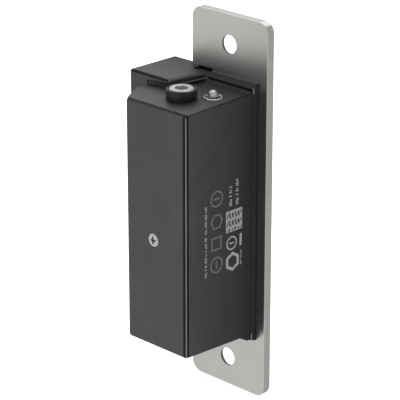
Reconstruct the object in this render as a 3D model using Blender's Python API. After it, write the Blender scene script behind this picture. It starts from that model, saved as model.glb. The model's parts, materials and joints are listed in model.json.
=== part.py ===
"""Electric door strike: a steel faceplate, a cast frame with a swinging keeper, and a deep rear casing.

Axes: +Z is up the door frame, +Y goes into the door frame, +X is the side the door leaves by.
The origin is the centre of the faceplate's front face. Sizes below are in millimetres.
The part rests unpowered: the plunger is down, the locking lever is clear and the keeper is closed.
"""

import math

import bmesh
import bpy
from mathutils import Matrix, Vector

MM = 0.001

# Gaps between neighbouring pieces.
SEAM = 0.12

# Faceplate: the standard 4 7/8 x 1 1/4 inch strike plate.
PLATE_HALF_HEIGHT = 61.9125
PLATE_HALF_WIDTH = 15.875
PLATE_THICK = 3.0
PLATE_CORNER = 3.5
PLATE_SEAT_Z = 43.5
FIXING_Z = 52.3875
FIXING_RADIUS = 3.0
FIXING_SINK_RADIUS = 5.2
FRAME_SCREW_Z = 33.0
FRAME_SCREW_X = -2.0
FRAME_SCREW_HEAD = 2.8
FRAME_SCREW_SHANK = 1.5

# Casing: a box with draft, and a bulge on the keeper side that makes room for the keeper's tail.
CASING_FRONT = 5.3
CASING_REAR = 33.7
CASING_HALF_HEIGHT_FRONT = 40.2
CASING_HALF_HEIGHT_REAR = 39.3
BLANK_SIDE_FRONT = -12.2
BLANK_SIDE_REAR = -11.6
BULGE_REAR_X = 13.6
BULGE_X = 18.9
BULGE_CORNER_Y = 25.0
BULGE_FRONT_Y = 20.1
CASING_WALL = 1.3
CASING_ROUND = 0.6
COVER_THICK = 1.0
COVER_ROUND = 0.85

# Cast frame: a flange behind the faceplate and a taller block that carries the keeper.
FLANGE_HALF_HEIGHT = 42.7
FLANGE_CREST_WIDTH = 0.4
FLANGE_CREST_DROP = 0.15
FLANGE_EDGE_TOP = 41.25
FLANGE_EDGE_BOTTOM = -42.0
BLOCK_HALF_HEIGHT = 42.7
BLOCK_X = 26.5
BLOCK_REAR = 19.8
BLOCK_ROUND = 0.7
BLOCK_INNER_REAR_X = 12.6
BLOCK_INNER_FRONT_X = 10.6
BODY_X = -10.4
BODY_REAR = 15.0
BODY_HALF_HEIGHT = 37.4

# Above and below the casing, the block's slab reaches over a shoulder of the casing, which stands out
# a little from under it. A tongue of the shoulder shows in a slot in the block's rear face.
SLAB_INNER_REAR_X = 9.5
SLAB_INNER_FRONT_X = 6.75
SLAB_LEVEL = 41.35
SHOULDER_LEVEL = 41.15
SHOULDER_LEDGE = 0.35
SLOT_LOW = 39.3
SLOT_HIGH = 41.0
SLOT_END_X = 18.7
SLOT_FRONT = 16.9

# The casing's raised rim along the flange: its level, the width of its crest, and where its foot is.
RIM_GAP = 0.6
RIM_ABOVE = (40.85, 0.8, 7.4)
RIM_BELOW = (41.6, 1.0, 9.7)

# Above the casing, the slab ends at a slanted step, beside which the flange's sloped edge runs on. The
# notch for the cable is cut in the frame and in the faceplate's rear.
STEP_X = (6.75, 12.9)
STEP_Y = (7.2, 5.4)
NOTCH_X = (6.95, 12.9)
NOTCH_REAR = 3.8
NOTCH_LEVEL = 40.6
NOTCH_PLATE_TOP = 43.1
NOTCH_PLATE_DEPTH = 1.2

# Latch pocket and keeper bay.
POCKET_X = 1.8
POCKET_DEPTH = 13.5
POCKET_HALF_HEIGHT = 22.0
BAY_X = 17.6
BAY_DEPTH = 18.9
BAY_HALF_HEIGHT = 26.0

# Keeper.
KEEPER_PIVOT = (21.5, 15.5)
KEEPER_HUB_RADIUS = 3.2
KEEPER_HALF_HEIGHT = 25.2
KEEPER_FACE_X = 18.9
LATCH_PAD_HALF_HEIGHT = 21.7
LATCH_PAD_RAISE = 0.2
KEEPER_OUTER_X = 26.2
TAIL_HALF_HEIGHT = 7.3
TAIL_TIP_Y = 24.6
TAIL_X = (15.0, 17.1)
PIVOT_PIN_RADIUS = 1.5
BUSH_RADIUS = 2.3
SPRING_RECESS = (11.5, 20.5)

# Solenoid, upright behind the latch pocket, and its plunger.
SOLENOID = (0.6, 23.0)
YOKE_LOW = 9.5
YOKE_HIGH = 34.0
YOKE_THICK = 1.4
YOKE_SCREW_X = 4.0
YOKE_SCREW_Z = (25.5, 31.0)
COIL_RADIUS = 6.2
PLUNGER_RADIUS = 3.0
PLUNGER_LOW = -6.5
PLUNGER_HIGH = 20.5
CROSS_PIN_Z = -3.5
CLIP_Z = (1.5, 2.2)
CORE_SPIGOT = 2.0

# Locking lever: it rocks on a pin that lies along Y.
LEVER_PIVOT_X = -6.4
LEVER_FRONT = 21.5
LEVER_REAR = 24.5
LEVER_HUB_RADIUS = 2.2
LEVER_PIN_RADIUS = 1.0

# Monitor rod: it ties the casing to the frame and carries the lever that senses the latch.
ROD = (-5.9, 16.1)
ROD_RADIUS = 1.1
WASHER_RADIUS = 3.1
WASHER_DEPTH = 0.35
SWITCH_Z = -16.0
BUTTON_Y = 20.5

# Mode selector on top of the casing.
SELECTOR = (0.6, 23.0)
SELECTOR_BUSH_RADIUS = 4.75
SELECTOR_HEAD_RADIUS = 3.9
SELECTOR_TOP = 43.0
SELECTOR_SOCKET = 4.0
SELECTOR_SEAT = 39.3
SELECTOR_BORE = 2.15

# Rear cover screw.
COVER_SCREW_X = 2.5
COVER_SCREW_Z = -3.8
COVER_SCREW_RADIUS = 2.15

# Control board.
BOARD_FRONT = 26.2
BOARD_THICK = 1.2
BOARD_TOP = -8.5
BOARD_BOTTOM = -37.0
STANDOFF_X = 9.0
STANDOFF_Z = (-17.5, -34.0)
SOCKET_X = (-5.0, 5.0)
SOCKET_Y = (19.4, 25.9)

# Steps of round shapes, and the angle from which an edge counts as sharp.
ROUND = 24
SMALL_ROUND = 16
SHARP_ANGLE = math.radians(32)

# The small round on machined edges.
ARRIS = 0.25


def clear_scene():
    for obj in list(bpy.data.objects):
        bpy.data.objects.remove(obj)


def material(name, colour, roughness, metallic):
    found = bpy.data.materials.get(name)
    if found:
        return found
    made = bpy.data.materials.new(name)
    made.use_nodes = True
    shader = made.node_tree.nodes["Principled BSDF"]
    shader.inputs["Base Color"].default_value = (*colour, 1.0)
    shader.inputs["Roughness"].default_value = roughness
    shader.inputs["Metallic"].default_value = metallic
    return made


def black_cast():
    return material("black_cast", (0.055, 0.055, 0.06), 0.5, 0.2)


def stainless():
    return material("stainless", (0.62, 0.62, 0.6), 0.32, 1.0)


def bright_steel():
    return material("bright_steel", (0.7, 0.7, 0.7), 0.25, 1.0)


def dark_steel():
    return material("dark_steel", (0.12, 0.12, 0.12), 0.4, 0.9)


def brass():
    return material("brass", (0.72, 0.55, 0.25), 0.3, 1.0)


def copper():
    return material("copper", (0.72, 0.36, 0.2), 0.35, 1.0)


def black_plastic():
    return material("black_plastic", (0.03, 0.03, 0.03), 0.45, 0.0)


def white_plastic():
    return material("white_plastic", (0.8, 0.8, 0.76), 0.45, 0.0)


def board_green():
    return material("board_green", (0.05, 0.22, 0.09), 0.45, 0.0)


def red_lead():
    return material("red_lead", (0.5, 0.03, 0.03), 0.5, 0.0)


def shade(mesh):
    """Smooth shading, except across sharp edges."""
    mesh.shade_smooth()
    mesh.set_sharp_from_angle(angle=SHARP_ANGLE)


def make_object(name, mesh_data, finish):
    """A named object from a bmesh, with outward faces, one material and smooth round sides."""
    bmesh.ops.recalc_face_normals(mesh_data, faces=mesh_data.faces)
    mesh = bpy.data.meshes.new(name)
    mesh_data.to_mesh(mesh)
    mesh_data.free()
    if finish:
        mesh.materials.append(finish)
    shade(mesh)
    obj = bpy.data.objects.new(name, mesh)
    bpy.context.scene.collection.objects.link(obj)
    return obj


def helper(obj):
    """Marks a cutter or an addition, which shapes another object and isn't a piece."""
    obj.hide_render = True
    obj.display_type = "WIRE"
    return obj


def to_world(point, level, axis):
    """A point of an outline, and its level along the extrusion axis, as X, Y, Z in metres."""
    first, second = point
    places = {
        "X": (level, first, second),
        "Y": (first, level, second),
        "Z": (first, second, level),
    }
    return Vector(places[axis]) * MM


def loft(name, lower, upper, finish):
    """A solid between two rings that have the same number of points."""
    mesh_data = bmesh.new()
    low = [mesh_data.verts.new(point) for point in lower]
    high = [mesh_data.verts.new(point) for point in upper]
    mesh_data.faces.new(low)
    mesh_data.faces.new(high)
    for i in range(len(low)):
        j = (i + 1) % len(low)
        mesh_data.faces.new((low[i], low[j], high[j], high[i]))
    return make_object(name, mesh_data, finish)


def prism(name, outline, low, high, axis="Z", finish=None):
    """An outline extruded along one axis. Along X it is (y, z), along Y (x, z) and along Z (x, y)."""
    lower = [to_world(point, low, axis) for point in outline]
    upper = [to_world(point, high, axis) for point in outline]
    return loft(name, lower, upper, finish)


def box(name, x, y, z, finish=None):
    outline = [(x[0], y[0]), (x[1], y[0]), (x[1], y[1]), (x[0], y[1])]
    return prism(name, outline, z[0], z[1], "Z", finish)


def circle(centre, radius, count=ROUND):
    return [on_circle(centre, radius, 360 * i / count) for i in range(count)]


def on_circle(centre, radius, degrees):
    angle = math.radians(degrees)
    return (centre[0] + radius * math.cos(angle), centre[1] + radius * math.sin(angle))


def arc(centre, radius, start, end, steps):
    return [on_circle(centre, radius, start + (end - start) * i / steps) for i in range(steps + 1)]


def cylinder(name, centre, radius, low, high, axis="Z", finish=None, count=ROUND):
    return prism(name, circle(centre, radius, count), low, high, axis, finish)


def rounded(corners, steps=5):
    """An outline with its corners rounded: each corner is (x, y, radius)."""
    outline = []
    for i, (x, y, radius) in enumerate(corners):
        here = Vector((x, y))
        if radius == 0:
            outline.append((x, y))
            continue
        to_last = (Vector(corners[i - 1][:2]) - here).normalized()
        to_next = (Vector(corners[(i + 1) % len(corners)][:2]) - here).normalized()
        half = to_last.angle(to_next) / 2
        centre = here + (to_last + to_next).normalized() * radius / math.sin(half)
        start = here + to_last * radius / math.tan(half) - centre
        end = here + to_next * radius / math.tan(half) - centre
        turn = start.angle_signed(end)
        for k in range(steps + 1):
            spoke = Matrix.Rotation(-turn * k / steps, 2) @ start
            outline.append(tuple(centre + spoke))
    return outline


def turned(name, centre, profile, finish, axis="Z", count=ROUND):
    """A profile of (radius, level) points turned about an axis. It may start and end on the axis."""
    mesh_data = bmesh.new()
    rings = []
    for radius, level in profile:
        ring = circle(centre, radius, count) if radius else [centre]
        rings.append([mesh_data.verts.new(to_world(point, level, axis)) for point in ring])
    pairs = list(zip(rings, rings[1:]))
    if profile[0][0] or profile[-1][0]:
        pairs.append((rings[-1], rings[0]))
    for first, second in pairs:
        for i in range(count):
            j = (i + 1) % count
            corners = [first[i % len(first)], first[j % len(first)]]
            corners += [second[j % len(second)], second[i % len(second)]]
            mesh_data.faces.new(list(dict.fromkeys(corners)))
    return make_object(name, mesh_data, finish)


def ring(name, centre, inner, outer, low, high, finish, axis="Z", count=ROUND):
    profile = [(inner, low), (outer, low), (outer, high), (inner, high)]
    return turned(name, centre, profile, finish, axis, count)


def swept(name, path, radius, finish, sides=5):
    """A round wire along a path of points."""
    mesh_data = bmesh.new()
    rings = []
    up = Vector((0.31, 0.17, 0.94)).normalized()
    for i, point in enumerate(path):
        along = (path[min(i + 1, len(path) - 1)] - path[max(i - 1, 0)]).normalized()
        side = (up - along * up.dot(along)).normalized()
        up = side
        other = along.cross(side)
        spokes = [on_circle((0, 0), radius, 360 * k / sides) for k in range(sides)]
        rings.append([mesh_data.verts.new((point + side * a + other * b) * MM) for a, b in spokes])
    for first, second in zip(rings, rings[1:]):
        for k in range(sides):
            n = (k + 1) % sides
            mesh_data.faces.new((first[k], first[n], second[n], second[k]))
    mesh_data.faces.new(rings[0])
    mesh_data.faces.new(rings[-1])
    return make_object(name, mesh_data, finish)


def boolean(obj, other, operation):
    modifier = obj.modifiers.new(f"{operation.lower()}_{other.name}"[:60], "BOOLEAN")
    modifier.operation = operation
    modifier.object = helper(other)
    modifier.solver = "EXACT"


def cut(obj, *cutters):
    for cutter in cutters:
        boolean(obj, cutter, "DIFFERENCE")


def join(obj, *others):
    for other in others:
        boolean(obj, other, "UNION")


def move_origin(obj, place):
    """Puts the object's origin on a joint axis without moving the shape."""
    target = Vector(place) * MM
    obj.data.transform(Matrix.Translation(-target))
    obj.location = target
    return obj


def round_edges(obj, radius, wanted, segments=3):
    """Rounds the convex edges whose middle point, in millimetres, is wanted."""
    mesh_data = bmesh.new()
    mesh_data.from_mesh(obj.data)
    edges = []
    for edge in mesh_data.edges:
        middle = (edge.verts[0].co + edge.verts[1].co) / 2 / MM
        if edge.is_convex and edge.calc_face_angle() > SHARP_ANGLE and wanted(middle):
            edges.append(edge)
    bmesh.ops.bevel(mesh_data, geom=edges, offset=radius * MM, segments=segments, profile=0.5, affect="EDGES")
    mesh_data.to_mesh(obj.data)
    mesh_data.free()
    shade(obj.data)


def split_faces(obj, axis, levels):
    """Cuts the faces along planes across one axis, so that each stretch is a flat face of its own."""
    normal = Vector([1.0 if name == axis else 0.0 for name in "XYZ"])
    mesh_data = bmesh.new()
    mesh_data.from_mesh(obj.data)
    for level in levels:
        geometry = mesh_data.verts[:] + mesh_data.edges[:] + mesh_data.faces[:]
        bmesh.ops.bisect_plane(mesh_data, geom=geometry, plane_co=normal * level * MM, plane_no=normal)
    mesh_data.to_mesh(obj.data)
    mesh_data.free()


def phillips(name, centre, axis, face, inward, size):
    """A cross-shaped recess for a screwdriver, sunk from a face."""
    arm = size * 0.17
    bottom = face + inward * size * 0.42
    cross = [
        (size, arm), (arm, arm), (arm, size), (-arm, size), (-arm, arm), (-size, arm),
        (-size, -arm), (-arm, -arm), (-arm, -size), (arm, -size), (arm, -arm), (size, -arm),
    ]
    outline = [(centre[0] + a * 0.5, centre[1] + b * 0.5) for a, b in cross]
    low, high = sorted((face - inward * 0.5, bottom))
    return prism(name, outline, low, high, axis)


def sunk_screw(name, centre, face, head_radius, shank_radius, length, inward, finish):
    """A countersunk screw along Y whose head is flush with a face."""
    head = head_radius - shank_radius
    profile = [
        (0, face),
        (head_radius, face),
        (head_radius, face + inward * 0.25),
        (shank_radius, face + inward * (0.25 + head)),
        (shank_radius, face + inward * length),
        (0, face + inward * length),
    ]
    screw = turned(name, centre, profile, finish, "Y", ROUND)
    cut(screw, phillips(f"{name}_recess", centre, "Y", face, inward, head_radius * 1.15))
    return screw


def sink_cutter(name, centre, face, head_radius, shank_radius, depth, inward):
    """The countersunk hole that takes a sunk screw."""
    head = head_radius - shank_radius
    profile = [
        (0, face - inward * 1.0),
        (head_radius + SEAM, face - inward * 1.0),
        (head_radius + SEAM, face + inward * 0.35),
        (shank_radius + SEAM, face + inward * (0.35 + head)),
        (shank_radius + SEAM, face + inward * depth),
        (0, face + inward * depth),
    ]
    return turned(name, centre, profile, None, "Y")


def between(y, front_value, rear_value):
    """A size that changes evenly from the casing's front to its rear."""
    share = (y - CASING_FRONT) / (CASING_REAR - CASING_FRONT)
    return front_value + (rear_value - front_value) * share


def casing_half_height(y):
    return between(y, CASING_HALF_HEIGHT_FRONT, CASING_HALF_HEIGHT_REAR)


def blank_side_x(y):
    return between(y, BLANK_SIDE_FRONT, BLANK_SIDE_REAR)


def bulge_slope_x(y):
    share = (CASING_REAR - y) / (CASING_REAR - BULGE_CORNER_Y)
    return BULGE_REAR_X + (BULGE_X - BULGE_REAR_X) * share


def block_inner_x(y):
    share = (y - CASING_FRONT) / (BLOCK_REAR - CASING_FRONT)
    return BLOCK_INNER_FRONT_X + (BLOCK_INNER_REAR_X - BLOCK_INNER_FRONT_X) * share


def slab_inner_x(y):
    share = (y - CASING_FRONT) / (BLOCK_REAR - CASING_FRONT)
    return SLAB_INNER_FRONT_X + (SLAB_INNER_REAR_X - SLAB_INNER_FRONT_X) * share


def drafted(name, outline, inset, finish=None):
    """A solid whose top and bottom follow the casing's draft, kept inside it by the inset."""
    lower = [Vector((x, y, inset - casing_half_height(y))) * MM for x, y in outline]
    upper = [Vector((x, y, casing_half_height(y) - inset)) * MM for x, y in outline]
    return loft(name, lower, upper, finish)


# ---------------------------------------------------------------- outer pieces


def make_faceplate():
    corners = [
        (-PLATE_HALF_WIDTH, -PLATE_HALF_HEIGHT, PLATE_CORNER),
        (PLATE_HALF_WIDTH, -PLATE_HALF_HEIGHT, PLATE_CORNER),
        (PLATE_HALF_WIDTH, PLATE_HALF_HEIGHT, PLATE_CORNER),
        (-PLATE_HALF_WIDTH, PLATE_HALF_HEIGHT, PLATE_CORNER),
    ]
    plate = prism("faceplate", rounded(corners, 8), 0, PLATE_THICK, "Y", stainless())
    round_edges(plate, ARRIS, lambda point: True, 2)
    split_faces(plate, "Z", (-PLATE_SEAT_Z, PLATE_SEAT_Z))
    beyond = PLATE_HALF_WIDTH + 4
    corner = 1.5
    opening = [
        (POCKET_X, -POCKET_HALF_HEIGHT, corner),
        (beyond, -POCKET_HALF_HEIGHT, 0),
        (beyond, POCKET_HALF_HEIGHT, 0),
        (POCKET_X, POCKET_HALF_HEIGHT, corner),
    ]
    cable_y = (PLATE_THICK - NOTCH_PLATE_DEPTH, PLATE_THICK + 1)
    cut(
        plate,
        prism("plate_opening", rounded(opening), -1, PLATE_THICK + 1, "Y"),
        box("plate_cable_notch", NOTCH_X, cable_y, (NOTCH_LEVEL, NOTCH_PLATE_TOP)),
    )
    sink_depth = FIXING_SINK_RADIUS - FIXING_RADIUS
    profile = [
        (0, -1),
        (FIXING_SINK_RADIUS, -1),
        (FIXING_SINK_RADIUS, 0),
        (FIXING_RADIUS, sink_depth),
        (FIXING_RADIUS, PLATE_THICK + 1),
        (0, PLATE_THICK + 1),
    ]
    for side in (1, -1):
        cut(plate, turned(f"fixing_hole_{side}", (0, side * FIXING_Z), profile, None, "Y", 32))
        centre = (FRAME_SCREW_X, side * FRAME_SCREW_Z)
        sink = sink_cutter(
            f"plate_sink_{side}", centre, 0, FRAME_SCREW_HEAD, FRAME_SCREW_SHANK, PLATE_THICK + 1, 1
        )
        cut(plate, sink)
    return plate


def flange_edge(side):
    """The outline of the flange's sloped edge above (side 1) or below (side -1), from the plate rearwards."""
    seat = PLATE_THICK + SEAM
    rear_level = FLANGE_EDGE_TOP if side > 0 else FLANGE_EDGE_BOTTOM
    crest = (seat, side * FLANGE_HALF_HEIGHT)
    slope_start = (seat + FLANGE_CREST_WIDTH, side * (FLANGE_HALF_HEIGHT - FLANGE_CREST_DROP))
    return [crest, slope_start, (CASING_FRONT, rear_level)]


def make_frame_flange():
    """The rim behind the faceplate, with sloped top and bottom edges."""
    outline = flange_edge(-1) + flange_edge(1)[::-1]
    return prism("frame_flange", outline, BLANK_SIDE_FRONT, BLOCK_INNER_FRONT_X + 1, "X")


def make_slab_step():
    """What the block's top lacks beside the notch: all above the flange's edge, up to a slanted step."""
    slant = (STEP_Y[1] - STEP_Y[0]) / (STEP_X[1] - STEP_X[0])
    beyond = BLOCK_HALF_HEIGHT + 1
    rings = []
    for x in (STEP_X[0] - 2, STEP_X[1]):
        step_y = STEP_Y[0] + slant * (x - STEP_X[0])
        outline = flange_edge(1) + [(step_y, FLANGE_EDGE_TOP), (step_y, beyond), (PLATE_THICK, beyond)]
        outline += [(PLATE_THICK, FLANGE_HALF_HEIGHT)]
        rings.append([Vector((x, y, z)) * MM for y, z in outline])
    return loft("slab_step", *rings, None)


def make_frame_block():
    """The tall block beside the casing: it reaches the faceplate's front face beyond the plate's edge."""
    seat = PLATE_THICK + SEAM
    beyond_plate = PLATE_HALF_WIDTH + SEAM
    outline = [
        (slab_inner_x(seat), seat),
        (beyond_plate, seat),
        (beyond_plate, 0),
        (BLOCK_X, 0),
        (BLOCK_X, BLOCK_REAR),
        (SLAB_INNER_REAR_X, BLOCK_REAR),
    ]
    block = prism("front_frame", outline, -BLOCK_HALF_HEIGHT, BLOCK_HALF_HEIGHT, "Z", black_cast())
    round_edges(block, BLOCK_ROUND, lambda point: point.y > seat + 1 or point.x > beyond_plate + 1)
    room = [
        (SLAB_INNER_FRONT_X - 3, CASING_FRONT),
        (BLOCK_INNER_FRONT_X, CASING_FRONT),
        (BLOCK_INNER_REAR_X, BLOCK_REAR),
        (BLOCK_INNER_REAR_X, BLOCK_REAR + 2),
        (SLAB_INNER_FRONT_X - 3, BLOCK_REAR + 2),
    ]
    cut(block, prism("casing_room", room, -SLAB_LEVEL, SLAB_LEVEL), make_slab_step())
    return block


def make_tongue_slot(side):
    """The slot in the block's rear face that takes the shoulder's tongue, with one round end."""
    radius = (SLOT_HIGH - SLOT_LOW) / 2
    end = (SLOT_END_X - radius, side * (SLOT_LOW + SLOT_HIGH) / 2)
    inside_x = BLOCK_INNER_REAR_X - 2
    outline = arc(end, radius, -90, 90, 8) + [(inside_x, end[1] + radius), (inside_x, end[1] - radius)]
    return prism(f"tongue_slot_{side}", outline, SLOT_FRONT, BLOCK_REAR + 1, "Y")


def make_lever_lug():
    """The fork, cast on the frame, that holds the locking lever's pin."""
    root_x, root_z = (BODY_X, -8.9), (-7.0, 0.0)
    cheek_x, cheek_z = (-9.4, -4.2), (-6.4, -0.6)
    cheek_thick, cheek_gap = 1.5, 0.4
    front = LEVER_FRONT - cheek_gap
    rear = LEVER_REAR + cheek_gap
    lug = box("lever_lug", root_x, (BODY_REAR - 1, rear + cheek_thick), root_z)
    for i, span in enumerate(((front - cheek_thick, front), (rear, rear + cheek_thick))):
        join(lug, box(f"lever_cheek_{i}", cheek_x, span, cheek_z))
    pin_place = (LEVER_PIVOT_X, CROSS_PIN_Z)
    cut(lug, cylinder("lever_pin_hole", pin_place, LEVER_PIN_RADIUS + 0.05, 15, 30, "Y", None, SMALL_ROUND))
    return lug


def cut_frame_hollows(frame):
    """The latch pocket, the keeper's bay, and room behind them for the tail and the monitor lever."""
    pocket_z = (-POCKET_HALF_HEIGHT, POCKET_HALF_HEIGHT)
    bay_z = (-BAY_HALF_HEIGHT, BAY_HALF_HEIGHT)
    tail_z = (-TAIL_HALF_HEIGHT - 1.1, TAIL_HALF_HEIGHT + 1.1)
    beyond = BLOCK_X + 2
    body_through = BODY_REAR + 1
    cut(
        frame,
        box("pocket_cut", (POCKET_X, beyond), (-1, POCKET_DEPTH), pocket_z),
        box("bay_cut", (BAY_X, beyond), (-1, BAY_DEPTH), bay_z),
        box("tail_cut", (8.6, BAY_X + 0.1), (POCKET_DEPTH - 1, BLOCK_REAR + 1), tail_z),
        box("paddle_cut", (-3.3, 9.2), (POCKET_DEPTH - 0.6, body_through), (-15.0, 9.2)),
        box("hub_cut", (ROD[0] - 2.8, ROD[0] + 2.8), (ROD[1] - 2.9, body_through), (-21.3, 21.3)),
        box("wire_notch", NOTCH_X, (PLATE_THICK - 0.5, NOTCH_REAR), (NOTCH_LEVEL, BLOCK_HALF_HEIGHT + 2)),
    )


def cut_frame_holes(frame):
    beyond = BLOCK_HALF_HEIGHT + 2
    bush_end = 32.0
    pin_end = 35.2
    cut(
        frame,
        cylinder("rod_hole", ROD, ROD_RADIUS + 0.1, -beyond, beyond),
        cylinder("pin_hole", KEEPER_PIVOT, PIVOT_PIN_RADIUS + 0.1, -beyond, pin_end),
    )
    for side in (1, -1):
        low, high = sorted((side * (BAY_HALF_HEIGHT - 1), side * bush_end))
        cut(frame, cylinder(f"bush_hole_{side}", KEEPER_PIVOT, BUSH_RADIUS + 0.1, low, high))
        centre = (FRAME_SCREW_X, side * FRAME_SCREW_Z)
        cut(frame, cylinder(f"frame_tap_{side}", centre, FRAME_SCREW_SHANK + 0.1, 0, 11.5, "Y"))
    through = BODY_REAR + 3
    for i, level in enumerate(YOKE_SCREW_Z):
        centre = (YOKE_SCREW_X, level)
        cut(frame, cylinder(f"yoke_screw_hole_{i}", centre, 1.4, 2, through, "Y"))
        cut(frame, cylinder(f"yoke_counterbore_{i}", centre, 2.5, 2, 9.0, "Y"))
    for i, level in enumerate(STANDOFF_Z):
        centre = (STANDOFF_X, level)
        cut(frame, cylinder(f"standoff_hole_{i}", centre, 1.2, 11.5, through, "Y", None, SMALL_ROUND))


def make_front_frame():
    frame = make_frame_block()
    body_y = (CASING_FRONT - 0.5, BODY_REAR)
    body_z = (-BODY_HALF_HEIGHT, BODY_HALF_HEIGHT)
    join(frame, make_frame_flange(), box("frame_body", (BODY_X, BLOCK_INNER_REAR_X), body_y, body_z))
    cut_frame_hollows(frame)
    ear_radius = 2.6
    for side in (1, -1):
        cut(frame, make_tongue_slot(side))
        low, high = sorted((side * 24.0, side * 30.0))
        join(frame, cylinder(f"rod_ear_{side}", ROD, ear_radius, low, high))
    cut_frame_holes(frame)
    join(frame, make_lever_lug())
    return frame


def make_casing_shoulder(side):
    """The raised edge of the casing along the block and the flange, with the tongue that enters the block."""
    front = CASING_FRONT + SEAM
    rear = BLOCK_REAR - 0.15
    gap = SEAM * 1.5
    root = CASING_HALF_HEIGHT_REAR - 0.3
    low, high = sorted((side * root, side * SHOULDER_LEVEL))
    outline = [
        (slab_inner_x(front) - SHOULDER_LEDGE, front),
        (slab_inner_x(rear) - SHOULDER_LEDGE, rear),
        (block_inner_x(rear) - gap, rear),
        (block_inner_x(front) - gap, front),
    ]
    shoulder = prism(f"casing_shoulder_{side}", outline, low, high)
    low, high = sorted((side * (SLOT_LOW + 0.25), side * (SLOT_HIGH - 0.25)))
    tongue_x = (BLOCK_INNER_FRONT_X, SLOT_END_X - 0.45)
    tongue = box(f"casing_tongue_{side}", tongue_x, (SLOT_FRONT + 0.3, rear), (low, high))
    level, crest, foot = RIM_ABOVE if side > 0 else RIM_BELOW
    rim_front = CASING_FRONT + RIM_GAP
    corners = [
        (rim_front, side * root, 0),
        (rim_front, side * level, 0.15),
        (rim_front + crest, side * level, 0.4),
        (foot, side * (casing_half_height(foot) - 0.05), 0),
        (foot, side * root, 0),
    ]
    rim_x = (BLANK_SIDE_FRONT + 0.05, SLAB_INNER_FRONT_X - SEAM)
    rim = prism(f"casing_rim_{side}", rounded(corners, 3), *rim_x, "X")
    join(shoulder, tongue, rim)
    return shoulder


def make_casing_cavity():
    slope = Vector((BULGE_X - BULGE_REAR_X, BULGE_CORNER_Y - CASING_REAR)).normalized()
    inward = Vector((slope.y, -slope.x)) * CASING_WALL
    inner_x = BULGE_X - CASING_WALL
    start = Vector((BULGE_REAR_X, CASING_REAR)) + inward
    corner = start + slope * (inner_x - start.x) / slope.x
    back = start - slope * 3
    open_front = 3
    outline = [
        (blank_side_x(open_front) + CASING_WALL, open_front),
        (blank_side_x(back.y) + CASING_WALL, back.y),
        tuple(back),
        tuple(corner),
        (inner_x, open_front),
    ]
    return drafted("casing_cavity", outline, CASING_WALL + 0.1)


def make_rear_housing():
    rear = CASING_REAR - COVER_THICK - SEAM
    front = CASING_FRONT + SEAM
    gap = SEAM * 1.5
    corners = [
        (blank_side_x(front), front, 0),
        (blank_side_x(rear), rear, 0),
        (bulge_slope_x(rear), rear, 0),
        (BULGE_X, BULGE_CORNER_Y, 5),
        (BULGE_X, BULGE_FRONT_Y, 2),
        (block_inner_x(BLOCK_REAR) - gap, BULGE_FRONT_Y, 0),
        (block_inner_x(front) - gap, front, 0),
    ]
    housing = drafted("rear_housing", rounded(corners), 0, black_cast())
    side = 0.1
    round_edges(
        housing,
        CASING_ROUND,
        lambda point: front + side < point.y < rear - side and (point.x < 0 or point.y > BLOCK_REAR),
    )
    round_edges(housing, ARRIS, lambda point: point.y > rear - side, 2)
    cut(housing, make_casing_cavity())
    rib_x, rib_z = (-11.3, 13.9), (-6.8, -0.8)
    join(housing, box("casing_rib", rib_x, (28.0, rear - 0.2), rib_z))
    join(housing, make_casing_shoulder(1), make_casing_shoulder(-1))
    beyond = BLOCK_HALF_HEIGHT + 2
    for side in (1, -1):
        low, high = sorted((side * (casing_half_height(ROD[1]) - WASHER_DEPTH - 0.1), side * beyond))
        cut(housing, cylinder(f"washer_seat_{side}", ROD, WASHER_RADIUS + 0.15, low, high))
    seat = SELECTOR_SEAT - 0.1
    window_x = (SOCKET_X[0] - 0.2, SOCKET_X[1] + 0.2)
    window_y = (SOCKET_Y[0] - 0.2, SOCKET_Y[1] + 0.05)
    cut(
        housing,
        cylinder("rib_tap", (COVER_SCREW_X, COVER_SCREW_Z), 1.35, 26, 35, "Y"),
        cylinder("selector_hole", SELECTOR, SELECTOR_BORE, 36, beyond),
        cylinder("selector_seat", SELECTOR, SELECTOR_BUSH_RADIUS + 0.1, seat, beyond),
        cylinder("housing_rod_hole", ROD, ROD_RADIUS + 0.1, -beyond, beyond),
        box("socket_window", window_x, window_y, (-beyond, -36)),
    )
    return housing


def make_rear_cover():
    front = CASING_REAR - COVER_THICK
    outline = [
        (blank_side_x(front), front),
        (blank_side_x(CASING_REAR), CASING_REAR),
        (bulge_slope_x(CASING_REAR), CASING_REAR),
        (bulge_slope_x(front), front),
    ]
    cover = drafted("rear_cover", outline, 0, black_cast())
    round_edges(cover, COVER_ROUND, lambda point: point.y > front + 0.1, 4)
    centre = (COVER_SCREW_X, COVER_SCREW_Z)
    cut(cover, sink_cutter("cover_sink", centre, CASING_REAR, COVER_SCREW_RADIUS, 1.25, 3, -1))
    return cover


def make_rear_cover_screw():
    centre = (COVER_SCREW_X, COVER_SCREW_Z)
    sunk_screw("rear_cover_screw", centre, CASING_REAR, COVER_SCREW_RADIUS, 1.2, 6.5, -1, bright_steel())


def make_faceplate_screws():
    for name, side in (("upper", 1), ("lower", -1)):
        centre = (FRAME_SCREW_X, side * FRAME_SCREW_Z)
        name = f"faceplate_screw_{name}"
        sunk_screw(name, centre, 0, FRAME_SCREW_HEAD, FRAME_SCREW_SHANK, 10, 1, bright_steel())


# ---------------------------------------------------------------- keeper


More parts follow.
